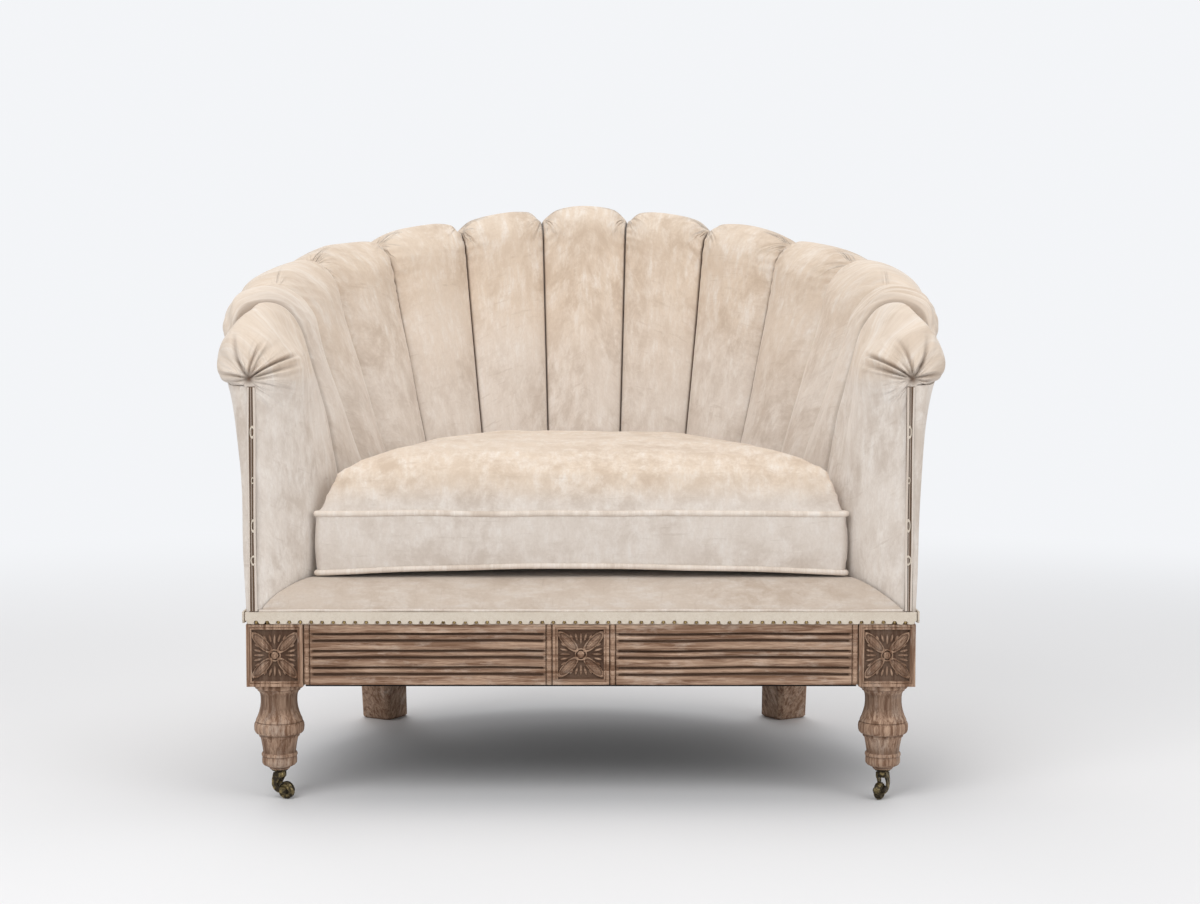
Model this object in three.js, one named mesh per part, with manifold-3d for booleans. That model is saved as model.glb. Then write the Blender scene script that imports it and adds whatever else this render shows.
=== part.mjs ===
// Scallop back tub chair: channelled velvet pads round a curved frame, a loose seat cushion,
// a carved wood front rail, turned front legs on brass casters and raked square back legs.
// Millimetres, Z up, the sitter faces -Y. While it is built the floor is Z = 0 and the front
// face of the front rail is Y = 0; the last lines centre the chair on its own footprint.

import * as THREE from "three";
import { mergeVertices } from "three/addons/utils/BufferGeometryUtils.js";
import Module from "manifold-3d";

const wasm = await Module();
wasm.setup();

// Gap between pieces that touch.
const seatedGap = 0.3;

// Plan of the tub. An inset is measured inwards from the outermost line of the crest roll.
const crestHalfWidth = 517.5;
const archDepth = 575;
const archCentreY = 210;
const backInsetShare = 0.8;
const crestInset = 50;
const seatInset = 163;

// Seams of the channels, from the middle of the back, as shares of the way round to an arm's front.
const crestSeamShares = [0.0755, 0.229, 0.409, 0.605, 0.8, 0.8917];
const seatSeamShares = [0.0717, 0.2092, 0.3466, 0.4817, 0.6156, 0.7507];
const channelsPerSide = crestSeamShares.length - 1;

// Heights of the tub.
const backCrestHeight = 877;
const armCrestHeight = 671;
const crestFallSlopeShare = 0.187;
const crestCrownLength = 120;
const frontFallStartShare = 0.735;
const seatLineHeight = 413;

// Channel pads.
const scallopDepth = 27;
const armScallopDepth = 12;
const rollEdgeDrop = 46;
const lobePower = 2.2;
const padSeamGap = 0.6;
const seamDraw = 2;
const padBottomClearance = 0.4;
const backShoulderInset = 83;
const armShoulderInset = 97;
const shoulderDrop = 70;
const rollDrop = 75;
const rollNarrowing = 22;
const hookOuterInset = 13;

// Front panels of the arms.
const sweepStart = 178;
const frontFaceInset = 58;
const sweepPower = 1.4;
const panelCrown = 9;
const capDepth = 45;
const capRoundness = 2.5;
const gatherInset = 50;
const panelSkirtInset = 56.8;
const panelSwellShare = 1.6;

// Arm and crest rails, posts and stiles inside the upholstery.
const railOuterInset = 40;
const backRailInnerInset = 70;
const armRailInnerInset = 80;
const hiddenRailDrop = 40;
const hiddenRailHeight = 46;
const frameOuterInset = 51;
const frameInnerInset = 83;
const padLining = 1.5;
const hookClearance = 0.5;
const railNoseShare = 0.2;
const stileChannel = 2.5;
const railJointShare = 0.002;
const stileWidth = 46;
const centreUprightWidth = 40;

// Outside covers and trim.
const coverThickness = 4;
const coverBaseInset = 43.5;
const coverTopInset = 14;
const coverEdgeInset = 56.5;
const coverTopClearance = 1.5;
const coverFlareShare = 0.55;
const coverFlarePower = 9;
const bandThickness = 3;
const bandHeight = 17;
const bandBottom = 258;
const bandEndInset = 44;
const stripInset = 50;
const stripWidth = 11;
const stripThickness = 2.5;

// Seat base.
const baseTop = 257;
const sideRailHeight = 86;
const sideRailOuterInset = 44.5;
const sideRailThickness = 50;
const frontRailDepth = 38;
const backLegShare = 0.41;
const backLegHeadWidth = 64;

// Front legs.
const blockSize = 80;
const blockBottom = 168;
const legAxisInset = 84.5;
const legAxisY = 40;
const legSegments = 20;
const collarRadius = 34.5;
const neckRadius = 26;
const bulgeRadius = 35.7;
const waistRadius = 23.3;
const ringRadius = 24.8;
const tipRadius = 14;
const legTip = 43;
const socketRadius = 5;
const socketDepth = 30;

// Back legs.
const backLegSize = 61;
const backLegTopInset = 72;
const backLegSplayX = 5;
const backLegSplayY = 105;
const backLegTurn = 32;
const backLegChamfer = 7;
const backLegTenonShare = 0.4;
const backLegTenon = 30;
const backLegFootShare = 0.97;
const backLegSoleShare = 0.86;

// Carving of the front rail and blocks.
const panelGroove = 6;
const panelBand = 12;
const wideReed = 10;
const beadCount = 3;
const beadWidth = 7;
const beadRise = 4.5;
const cornerBead = 10;
const cornerBeadRise = 3;
const carvedMargin = 6;
const carvedDepth = 5;
const petalWidth = 17;
const petalRise = 4;
const fanWidth = 13;
const fanRise = 2.8;
const buttonRadius = 5.5;
const buttonRise = 3.5;
const carvingRoot = 1;

// Casters.
const casterPlateRadius = 12.3;
const casterPlateThickness = 3.5;
const casterPinRadius = 3;
const casterPinHeadRadius = 4.4;
const casterPinHeadHeight = 1.6;
const runningGap = 0.4;
const hornHeadHeight = 7;
const hornHeadRadius = 7.5;
const cheekThickness = 2.6;
const cheekWidth = 9;
const casterTrail = 11;
const wheelRadius = 12.5;
const wheelWidth = 10;
const axleRadius = 2;
const axleHeadRadius = 3.2;
const axleHeadThickness = 1;
const leftCasterTurn = -24;
const rightCasterTurn = -120;
const casterBelly = 9;

// Deck and cushion.
const deckTop = 316;
const deckFlangeInset = 84.5;
const deckFlangeThickness = 7;
const deckLipFront = 60;
const deckLipPower = 1.4;
const deckClearance = 1.5;
const cushionFront = 60;
const cushionTopSeam = 413;
const cushionCrown = 88;
const cushionClearance = 2;
const cushionDraw = 5;
const pipingRadius = 5;
const cushionCentreY = 350;
const cushionFullness = 4;

// Seat suspension.
const webbingThickness = 1.6;
const webbingWidth = 50;
const webbingInset = 66;
const webbingFront = 14;
const springPitch = 155;
const springFrontY = 175;
const springTurns = 3;
const springWaistRadius = 22;
const springEndRadius = 34;
const springWireRadius = 2.2;
const dustCoverThickness = 1.2;
const dustCoverInset = 58;
const dustCoverFront = 8;
const cornerBlockReach = 50;
const cornerBlockMargin = 6;

// How many steps the curved forms take.
const arcSteps = 90;
const padStepShares = [-1, -0.74, -0.4, 0, 0.4, 0.74, 1];
const cushionRingShares = [0.96, 0.88, 0.76, 0.6, 0.4, 0.18];
const outlineSteps = 12;
const frontEdgeSteps = 8;
const latheSteps = 16;
const smallLatheSteps = 10;
const cheekSteps = 5;
const wheelSteps = 18;
const springTurnSteps = 8;
const meetingPasses = 40;
const facePasses = 12;

// Derived sizes.
const legAxisX = crestHalfWidth - legAxisInset;
const bandHalfLength = crestHalfWidth - bandEndInset;
const stripOuterX = crestHalfWidth - stripInset;
const frameBase = baseTop + seatedGap;
const railBottom = baseTop - sideRailHeight;
const deckBottom = baseTop + seatedGap;
const padBottom = deckBottom + deckFlangeThickness + padBottomClearance;
const stripTop = armCrestHeight - rollDrop - 2 * padLining;
const seamGapShare = padSeamGap / crestHalfWidth;
const padReachShare = (1 - seamGapShare * channelsPerSide) / 2;

// Materials.
const velvet = new THREE.MeshStandardMaterial({ color: 0xd6cabb, roughness: 0.85, metalness: 0 });
const tape = new THREE.MeshStandardMaterial({ color: 0xe2dac9, roughness: 0.9, metalness: 0 });
const wood = new THREE.MeshStandardMaterial({ color: 0xa08068, roughness: 0.7, metalness: 0 });
const innerWood = new THREE.MeshStandardMaterial({ color: 0xc2a27c, roughness: 0.8, metalness: 0 });
const brass = new THREE.MeshStandardMaterial({ color: 0x8a7444, roughness: 0.4, metalness: 1 });
const steel = new THREE.MeshStandardMaterial({ color: 0x8c8c8c, roughness: 0.35, metalness: 1 });
const jute = new THREE.MeshStandardMaterial({ color: 0xb79b6c, roughness: 0.95, metalness: 0 });
const lining = new THREE.MeshStandardMaterial({ color: 0x2c2a28, roughness: 0.95, metalness: 0 });

const chair = new THREE.Group();

function addPiece(name, geometry, material) {
  const piece = new THREE.Mesh(geometry, material);
  piece.name = name;
  chair.add(piece);
  return piece;
}

const mix = THREE.MathUtils.lerp;

// Closed meshes from rings of points.

function faceOutwards(positions, indices) {
  const corners = [new THREE.Vector3(), new THREE.Vector3(), new THREE.Vector3()];
  let volume = 0;
  for (let index = 0; index < indices.length; index += 3) {
    corners.forEach((corner, slot) => corner.fromArray(positions, indices[index + slot] * 3));
    volume += corners[0].dot(corners[1].clone().cross(corners[2]));
  }
  if (volume < 0) {
    for (let index = 0; index < indices.length; index += 3) {
      [indices[index], indices[index + 1]] = [indices[index + 1], indices[index]];
    }
  }
}

function capRing(ring, offset, indices, flip) {
  const normal = new THREE.Vector3();
  ring.forEach((point, index) => {
    const next = ring[(index + 1) % ring.length];
    normal.add(new THREE.Vector3().crossVectors(point, next));
  });
  normal.normalize();
  const along = new THREE.Vector3().subVectors(ring[1], ring[0]).normalize();
  const across = new THREE.Vector3().crossVectors(normal, along);
  const flat = ring.map((point) => new THREE.Vector2(point.dot(along), point.dot(across)));
  THREE.ShapeUtils.triangulateShape(flat, []).forEach(([a, b, c]) => {
    indices.push(offset + a, offset + (flip ? c : b), offset + (flip ? b : c));
  });
}

// Skins rings that all have the same number of points, and closes both ends flat.
function loft(rings) {
  const count = rings[0].length;
  const positions = rings.flat().flatMap((point) => [point.x, point.y, point.z]);
  const indices = [];
  for (let row = 0; row + 1 < rings.length; row += 1) {
    for (let column = 0; column < count; column += 1) {
      const next = (column + 1) % count;
      const [a, b] = [row * count + column, row * count + next];
      indices.push(a, b, b + count, a, b + count, a + count);
    }
  }
  capRing(rings[0], 0, indices, true);
  capRing(rings[rings.length - 1], (rings.length - 1) * count, indices, false);
  faceOutwards(positions, indices);
  const geometry = new THREE.BufferGeometry();
  geometry.setAttribute("position", new THREE.Float32BufferAttribute(positions, 3));
  geometry.setIndex(indices);
  return geometry;
}

function mirrored(geometry) {
  const copy = geometry.clone();
  const positions = Array.from(copy.getAttribute("position").array);
  for (let index = 0; index < positions.length; index += 3) {
    positions[index] = -positions[index];
  }
  const indices = Array.from(copy.index.array);
  faceOutwards(positions, indices);
  copy.setAttribute("position", new THREE.Float32BufferAttribute(positions, 3));
  copy.setIndex(indices);
  return copy;
}

// Solids for joining and cutting.

function sealed(geometry) {
  const bare = new THREE.BufferGeometry();
  bare.setAttribute("position", geometry.getAttribute("position").clone());
  if (geometry.index) {
    bare.setIndex(geometry.index.clone());
  }
  const merged = mergeVertices(bare);
  const corners = Array.from(merged.index.array);
  const indices = [];
  for (let index = 0; index < corners.length; index += 3) {
    const [a, b, c] = corners.slice(index, index + 3);
    if (a !== b && b !== c && c !== a) {
      indices.push(a, b, c);
    }
  }
  faceOutwards(merged.getAttribute("position").array, indices);
  merged.setIndex(indices);
  return merged;
}

function solidOf(geometry) {
  const whole = sealed(geometry);
  const vertProperties = Float32Array.from(whole.getAttribute("position").array);
  const triVerts = Uint32Array.from(whole.index.array);
  return new wasm.Manifold(new wasm.Mesh({ numProp: 3, vertProperties, triVerts }));
}

function geometryOf(solid) {
  const mesh = solid.getMesh();
  const geometry = new THREE.BufferGeometry();
  geometry.setAttribute("position", new THREE.Float32BufferAttribute(mesh.vertProperties, 3));
  geometry.setIndex(Array.from(mesh.triVerts));
  return geometry;
}

function joined(parts) {
  return parts.map(solidOf).reduce((sum, part) => sum.add(part));
}

function box(low, high) {
  const geometry = new THREE.BoxGeometry(high[0] - low[0], high[1] - low[1], high[2] - low[2]);
  return geometry.translate((low[0] + high[0]) / 2, (low[1] + high[1]) / 2, (low[2] + high[2]) / 2);
}

function lathe(profile, segments) {
  const points = profile.map(([radius, height]) => new THREE.Vector2(radius, height));
  return sealed(new THREE.LatheGeometry(points, segments).rotateX(Math.PI / 2));
}

// Plan of the tub: half an ellipse behind two straight arms, at any inset.

const arcTables = new Map();

function arcTable(inset) {
  if (!arcTables.has(inset)) {
    const halfWidth = crestHalfWidth - inset;
    const depth = archDepth - inset * backInsetShare;
    const table = [0];
    for (let step = 1; step <= arcSteps; step += 1) {
      const angle = ((step - 0.5) / arcSteps) * (Math.PI / 2);
      const speed = Math.hypot(halfWidth * Math.cos(angle), depth * Math.sin(angle));
      table.push(table[step - 1] + (speed * Math.PI) / 2 / arcSteps);
    }
    arcTables.set(inset, table);
  }
  return arcTables.get(inset);
}

function quarterLength(inset) {
  return arcTable(inset)[arcSteps];
}

// Length of half the tub's line at an inset: half the arch and one straight arm.
function halfLength(inset) {
  return quarterLength(inset) + archCentreY;
}

function pointAlong(arc, inset, side) {
  const halfWidth = crestHalfWidth - inset;
  const table = arcTable(inset);
  if (arc >= table[arcSteps]) {
    return new THREE.Vector2(side * halfWidth, archCentreY + table[arcSteps] - arc);
  }
  const upper = table.findIndex((length) => length > arc);
  const within = (arc - table[upper - 1]) / (table[upper] - table[upper - 1]);
  const angle = ((upper - 1 + within) / arcSteps) * (Math.PI / 2);
  const depth = archDepth - inset * backInsetShare;
  return new THREE.Vector2(side * halfWidth * Math.sin(angle), archCentreY + depth * Math.cos(angle));
}

const crestHalfLength = halfLength(crestInset);
const lastSeam = channelsPerSide + 0.5;

// Channels are counted from the middle of the back, with seams at the halves.
function seamShare(channel, shares) {
  const count = Math.abs(channel);
  if (count < 0.5) {
    return shares[0] * 2 * count;
  }
  const before = Math.floor(count - 0.5);
  const after = before + 1 < shares.length ? shares[before + 1] : 1;
  return mix(shares[before], after, count - 0.5 - before);
}

// Where a straight line in plan meets the tub's line at an inset.
function meeting(from, to, inset) {
  const [halfWidth, depth] = [crestHalfWidth - inset, archDepth - inset * backInsetShare];
  let [outer, inner] = [-1, 2];
  for (let pass = 0; pass < meetingPasses; pass += 1) {
    const middle = (outer + inner) / 2;
    const { x, y } = from.clone().lerp(to, middle);
    const reach = Math.hypot(x / halfWidth, Math.max(0, y - archCentreY) / depth);
    [outer, inner] = reach > 1 ? [middle, inner] : [outer, middle];
  }
  return from.clone().lerp(to, inner);
}

// A station is a place along the tub where a section stands, with the crest's length up to it.
// Each section is flat, so that neighbours meet on a flat seam.

function archStation(channel) {
  const side = channel < 0 ? -1 : 1;
  const crestArc = seamShare(channel, crestSeamShares) * crestHalfLength;
  const crest = pointAlong(crestArc, crestInset, side);
  const seat = pointAlong(seamShare(channel, seatSeamShares) * halfLength(seatInset), seatInset, side);
  return { crestArc, at: (inset) => meeting(crest, seat, inset) };
}

const lastStation = archStation(lastSeam);

// In an arm's front panel the stations fan out from the last seam to the front face.
function armStation(share, side = 1) {
  const crestArc = mix(1, crestSeamShares[channelsPerSide], share) * crestHalfLength;
  const depthAt = (inset) => lastStation.at(inset).y * share;
  const at = (inset) => new THREE.Vector2(side * (crestHalfWidth - inset), depthAt(inset));
  return { crestArc, depthAt, at };
}

// Square to the tub's line, at a share of the way round.
function frameStation(share) {
  const [along, side] = [Math.abs(share), share < 0 ? -1 : 1];
  const at = (inset) => pointAlong(along * halfLength(inset), inset, side);
  return { crestArc: along * crestHalfLength, at };
}

// Square across a straight arm.
function depthStation(depth, side = 1) {
  const at = (inset) => new THREE.Vector2(side * (crestHalfWidth - inset), depth);
  return { crestArc: crestHalfLength - depth, at };
}

// The crest falls evenly from its crown at the back, and faster along the arms.
function crestHeight(crestArc) {
  const fallTo = (arc) => crestFallSlopeShare * (Math.hypot(arc, crestCrownLength) - crestCrownLength);
  const [start, end] = [frontFallStartShare * crestHalfLength, crestHalfLength - capDepth];
  const arc = Math.min(crestArc, end);
  const frontFall = backCrestHeight - armCrestHeight - fallTo(end);
  const share = Math.max(0, (arc - start) / (end - start));
  return backCrestHeight - fallTo(arc) - frontFall * share * share;
}

// Goes from the back of the tub to its arms.
function tubMix(crestArc, atBack, atArm) {
  return mix(atBack, atArm, Math.min(1, crestArc / crestSeamShares[channelsPerSide] / crestHalfLength));
}

function ringAt(station, outline) {
  return outline.map(([inset, height]) => {
    const place = station.at(inset);
    return new THREE.Vector3(place.x, place.y, height);
  });
}

function sweep(stations, outlineOf) {
  return loft(stations.map((station) => ringAt(station, outlineOf(station))));
}

function shareRange(from, to, steps) {
  return Array.from({ length: steps + 1 }, (_, step) => mix(from, to, step / steps));
}

function frameRange(from, to, steps) {
  return shareRange(from, to, steps).map(frameStation);
}

// Sections of the pads.

const hollowShares = [0.82, 0.64, 0.49, 0.36, 0.25, 0.175];
const noseShares = [0.12, 0.065, 0.025, 0];
const skirtShares = [1, 0.9, 0.8, 0.7, 0];

function panelCrownAt(depth) {
  return panelCrown * Math.min(1, depth / deckLipFront);
}

// Where a station's section meets the panel's face: the inset and the depth.
function faceAt(station) {
  let inset = seatInset;
  for (let pass = 0; pass < facePasses; pass += 1) {
    inset = faceInset(station.depthAt(inset));
  }
  return { inset, depth: station.depthAt(inset) };
}

function faceInset(depth) {
  const share = Math.min(1, Math.max(0, (sweepStart - depth) / sweepStart));
  const fall = 1 - Math.pow(1 - Math.pow(share, sweepPower), 1 / sweepPower);
  return mix(seatInset, frontFaceInset, fall);
}

function padOutline(crestArc, fullness, face, overhang, crown) {
  const crest = crestHeight(crestArc);
  const shoulder = tubMix(crestArc, backShoulderInset, armShoulderInset);
  const railInner = tubMix(crestArc, backRailInnerInset, armRailInnerInset) + hookClearance;
  const shoulderHeight = crest - shoulderDrop;
  const lean = (share) => mix(mix(face, shoulder, share), face, overhang);
  const rise = (share) => mix(seatLineHeight, shoulderHeight, share);
  const scallop = tubMix(crestArc, scallopDepth, armScallopDepth);
  const lobe = scallop * fullness;
  const swell = scallopDepth * fullness;
  const [top, edge] = [crest - scallop, crest - rollEdgeDrop];
  const drawn = seamDraw * (1 - overhang);
  const gather = [gatherInset, crest - rollDrop];
  const visible = [
    [face + crown * 0.3, padBottom],
    [face + crown * 0.7 - drawn, mix(padBottom, seatLineHeight, 0.5)],
    [face + crown * 0.95, seatLineHeight],
    [lean(0.34) + crown - drawn, rise(0.34)],
    [lean(0.7) + crown - drawn, mix(rise(0.7), rise(0.9), overhang)],
  ];
  const roll = [
    [shoulder + swell * 0.95, shoulderHeight + lobe * 0.2],
    [shoulder - rollNarrowing * 0.2 + swell * 0.8, edge + lobe * 0.62],
    [mix(rollNarrowing, shoulder, 0.78), mix(top, edge, 0.25) + lobe * 0.95],
    [mix(rollNarrowing, shoulder, 0.5), top + lobe],
    [rollNarrowing * 1.4 - swell * 0.6, mix(top, edge, 0.42) + lobe * 0.75],
    [rollNarrowing - swell * 0.8, edge + lobe * 0.1],
    [mix(rollNarrowing, hookOuterInset, 0.6) - swell * 0.42, mix(edge, crest - rollDrop, 0.6)],
    [hookOuterInset, crest - rollDrop],
  ];
  const hook = [
    [railOuterInset - hookClearance, crest - rollDrop],
    [railOuterInset - hookClearance, crest - hiddenRailDrop + hookClearance],
    [railInner, crest - hiddenRailDrop + hookClearance],
    [railInner, crest - hiddenRailDrop - hiddenRailHeight - padLining],
    [frameInnerInset + padLining, padBottom],
  ];
  return { visible, roll, hook, gather };
}

// One sewn channel: full between its seams, drawn in along them.
function channelPad(channel) {
  const stations = padStepShares.map((step) => ({ step, ...archStation(channel + step * padReachShare) }));
  return sweep(stations, ({ step, crestArc }) => {
    const fullness = 1 - Math.pow(Math.abs(step), lobePower);
    const { visible, roll, hook } = padOutline(crestArc, fullness, seatInset, 0, scallopDepth * fullness);
    return [...visible, ...roll, ...hook];
  });
}

// Front panel of an arm: its face sweeps out to the front corner under an overhanging roll,
// and the roll's end is rounded down to the gather under it.
function armPanel() {
  const shares = [1 - seamGapShare, ...hollowShares, ...noseShares];
  const stations = shares.map((share) => ({ share, ...armStation(share) }));
  return sweep(stations, (station) => {
    const { share } = station;
    const hollow = share > noseShares[0];
    const face = faceAt(station);
    const fromSeam = Math.min(1, (1 - share) * panelSwellShare);
    const fullness = 1 - Math.pow(1 - fromSeam, lobePower);
    const overhang = Math.min(1, Math.max(0, 1 - face.depth / deckLipFront / 2));
    const crown = panelCrownAt(face.depth) * fullness;
    const outline = padOutline(station.crestArc, fullness, face.inset, overhang, crown);
    const capShare = Math.max(0, (capDepth - station.depthAt(gatherInset)) / (capDepth + capRoundness));
    const shrink = Math.sqrt(Math.max(0, 1 - capShare * capShare));
    const roll = outline.roll.map(([inset, height]) => [
      mix(outline.gather[0], inset, shrink),
      mix(outline.gather[1], height, shrink),
    ]);
    const skirtTop = outline.gather[1] - padLining;
    const skirt = skirtShares.map((rise) => [panelSkirtInset, mix(padBottom, skirtTop, rise)]);
    return [...outline.visible, ...roll, ...(hollow ? outline.hook : skirt)];
  });
}

// Stations that the long rails share with the pads, so that their facets lie parallel.
function sharedStations(from, to) {
  const channels = [];
  for (let channel = -channelsPerSide; channel <= channelsPerSide; channel += 1) {
    padStepShares.forEach((step) => channels.push(channel + step * padReachShare));
  }
  const [first, last] = [from + railJointShare, to - railJointShare];
  const between = channels.filter((channel) => channel > first && channel < last);
  return [from, ...between, to].map(archStation);
}

// Frame inside the upholstery.

// Goes round the same way as the pads' hooks, so that the facets are split alike.
function hiddenRailOutline(station) {
  const top = crestHeight(station.crestArc) - hiddenRailDrop;
  const inner = tubMix(station.crestArc, backRailInnerInset, armRailInnerInset);
  const bottom = top - hiddenRailHeight;
  return [[railOuterInset, bottom], [railOuterInset, top], [inner, top], [inner, bottom]];
}

function crestRail() {
  return sweep(sharedStations(-stileChannel, stileChannel), hiddenRailOutline);
}

function armRail() {
  const arms = [...hollowShares.slice(0, -1), railNoseShare].map((share) => armStation(share));
  return sweep([...sharedStations(stileChannel + railJointShare, lastSeam), ...arms], hiddenRailOutline);
}

function uprightOutline(station) {
  const top = crestHeight(station.crestArc) - hiddenRailDrop - hiddenRailHeight - seatedGap;
  const inner = tubMix(station.crestArc, backRailInnerInset, armRailInnerInset) - padLining;
  const outer = railOuterInset + padLining;
  return [[frameOuterInset, frameBase], [frameInnerInset, frameBase], [inner, top], [outer, top]];
}

function upright(channel, width) {
  const half = width / 2 / (crestSeamShares[0] * crestHalfLength * 2);
  return sweep([channel - half, channel, channel + half].map(archStation), uprightOutline);
}

function armPost() {
  const stations = [railNoseShare, hollowShares[4], hollowShares[3]].map((share) => armStation(share));
  return sweep(stations, (station) => {
    const top = crestHeight(station.crestArc) - hiddenRailDrop - hiddenRailHeight - 2 * seatedGap;
    const inner = tubMix(station.crestArc, backRailInnerInset, armRailInnerInset) - padLining;
    return [[frameOuterInset, frameBase], [frameInnerInset, frameBase], [inner, top], [frameOuterInset, top]];
  });
}

function baseRailOutline() {
  const [outer, inner] = [sideRailOuterInset, sideRailOuterInset + sideRailThickness];
  return [[outer, railBottom], [inner, railBottom], [inner, baseTop], [outer, baseTop]];
}

const legHeadHalfShare = backLegHeadWidth / 2 / crestHalfLength;
const legHeadGapShare = (1.3 * seatedGap) / crestHalfLength;

function backRail() {
  const end = backLegShare - legHeadHalfShare - legHeadGapShare;
  return sweep(frameRange(-end, end, outlineSteps), baseRailOutline);
}

function sideRail() {
  const start = backLegShare + legHeadHalfShare + legHeadGapShare;
  const arc = frameRange(start, crestSeamShares[channelsPerSide - 1], outlineSteps / 2);
  return sweep([...arc, depthStation(blockSize + seatedGap)], baseRailOutline);
}

// Outside covers: thin skins from the base up to the underside of the roll.

function coverInset(crestArc, height) {
  const top = crestHeight(crestArc) - rollDrop - coverTopClearance;
  const share = (height - frameBase) / (top - frameBase);
  return mix(coverBaseInset, coverTopInset, mix(share, Math.pow(share, coverFlarePower), coverFlareShare));
}

const coverHeightShares = [0, 0.4, 0.7, 0.86, 0.94, 1];
const coverTurnShares = [0, 0.25, 0.5, 0.75, 1];

function coverOutline(crestArc) {
  const top = crestHeight(crestArc) - rollDrop - coverTopClearance;
  const heights = coverHeightShares.map((share) => mix(frameBase, top, share));
  const outer = heights.map((height) => [coverInset(crestArc, height), height]);
  const inner = outer.map(([inset, height]) => [inset + coverThickness, height]);
  return [...outer, ...inner.reverse()];
}

const coverGapShare = seatedGap / crestHalfLength;
const coverSeamShare = crestSeamShares[2];
const backCoverEndShare = coverSeamShare - coverGapShare;
const backCoverShares = shareRange(-backCoverEndShare, backCoverEndShare, outlineSteps);
const armCoverStartShare = coverSeamShare + coverGapShare;
const armCoverShares = shareRange(armCoverStartShare, crestSeamShares[channelsPerSide], outlineSteps);

function outsideBack() {
  return sweep(backCoverShares.map(frameStation), (station) => coverOutline(station.crestArc));
}

function outsideArm() {
  const straight = hollowShares.slice(1, 3).map((share) => armStation(share));
  const stations = [...armCoverShares.map(frameStation), ...straight];
  const rings = stations.map((station) => ringAt(station, coverOutline(station.crestArc)));
  const outline = coverOutline(crestHalfLength);
  const edgeX = crestHalfWidth - coverEdgeInset;
  coverTurnShares.forEach((share) => {
    const angle = (share * Math.PI) / 2;
    rings.push(outline.map(([inset, height]) => {
      const outer = coverInset(crestHalfLength, height);
      const radius = coverEdgeInset - inset;
      const x = edgeX + radius * Math.cos(angle);
      return new THREE.Vector3(x, coverEdgeInset - outer - radius * Math.sin(angle), height);
    }));
  });
  return loft(rings);
}

// Trim.

function tubBand() {
  const bandTop = bandBottom + bandHeight;
  const inner = coverInset(crestHalfLength, bandTop) - 2 * seatedGap;
  const outer = inner - bandThickness;
  const outline = [[outer, bandBottom], [inner, bandBottom], [inner, bandTop], [outer, bandTop]];
  const shares = [...armCoverShares.map((share) => -share).reverse(), ...backCoverShares, ...armCoverShares];
  const stations = [depthStation(seatedGap, -1), ...shares.map(frameStation), depthStation(seatedGap)];
  return sweep(stations, () => outline);
}

function frontBand() {
  const low = [-bandHalfLength, -seatedGap - bandThickness, bandBottom];
  return box(low, [bandHalfLength, -seatedGap, bandBottom + bandHeight]);
}

function facingStrip() {
  const bottom = bandBottom + bandHeight + seatedGap;
  const low = [stripOuterX - stripWidth, -seatedGap - stripThickness, bottom];
  return box(low, [stripOuterX, -seatedGap, stripTop]);
}

// Deck and cushion are stacks of plan outlines, with the same stops as the arm panels.

const panelStopShares = [...hollowShares, ...noseShares.slice(0, -1)];
const panelStops = panelStopShares.map((share) => faceAt(armStation(share)).depth);
const panelEnd = lastStation.at(seatInset).y;
const sideDepthShares = panelStops.map((depth) => depth / panelEnd).reverse();

function faceClearance(depth) {
  const share = Math.min(1, Math.max(0, (2 * archCentreY - depth - sweepStart) / sweepStart));
  return mix(scallopDepth, panelCrownAt(depth), Math.min(1, 2 * share));
}

function seatPlan(front, insetAt, height, corner = 0) {
  const edge = crestHalfWidth - insetAt(front) - corner;
  const across = shareRange(-edge, edge, frontEdgeSteps).map((x) => new THREE.Vector3(x, front, height));
  const inset = insetAt(archCentreY * 2);
  const sideEnd = lastStation.at(inset).y;
  const sideDepths = sideDepthShares.map((share) => mix(front, sideEnd, share));
  const sideAt = (side) => (depth) => {
    return new THREE.Vector3(side * (crestHalfWidth - insetAt(depth)), depth, height);
  };
  const arch = shareRange(lastSeam, -lastSeam, lastSeam * 4).map((channel) => {
    const place = archStation(channel).at(inset);
    return new THREE.Vector3(place.x, place.y, height);
  });
  const [right, left] = [sideDepths.map(sideAt(1)), sideDepths.map(sideAt(-1)).reverse()];
  return [...across, ...right, ...arch, ...left];
}

const lipShares = [0, 0.12, 0.3, 0.55, 0.8, 1];

function seatDeck() {
  const flange = () => deckFlangeInset;
  const upper = (depth) => faceInset(depth) + faceClearance(depth) + deckClearance;
  const flangeTop = deckBottom + deckFlangeThickness;
  const rings = [seatPlan(0, flange, deckBottom), seatPlan(0, flange, flangeTop)];
  const lipBottom = bandBottom + bandHeight;
  rings.push(seatPlan(0, upper, flangeTop));
  lipShares.forEach((share) => {
    const front = deckLipFront * Math.pow(share, deckLipPower);
    const rise = 1 - Math.pow(1 - share, deckLipPower);
    rings.push(seatPlan(front, upper, mix(lipBottom, deckTop, rise)));
  });
  return loft(rings);
}

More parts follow.
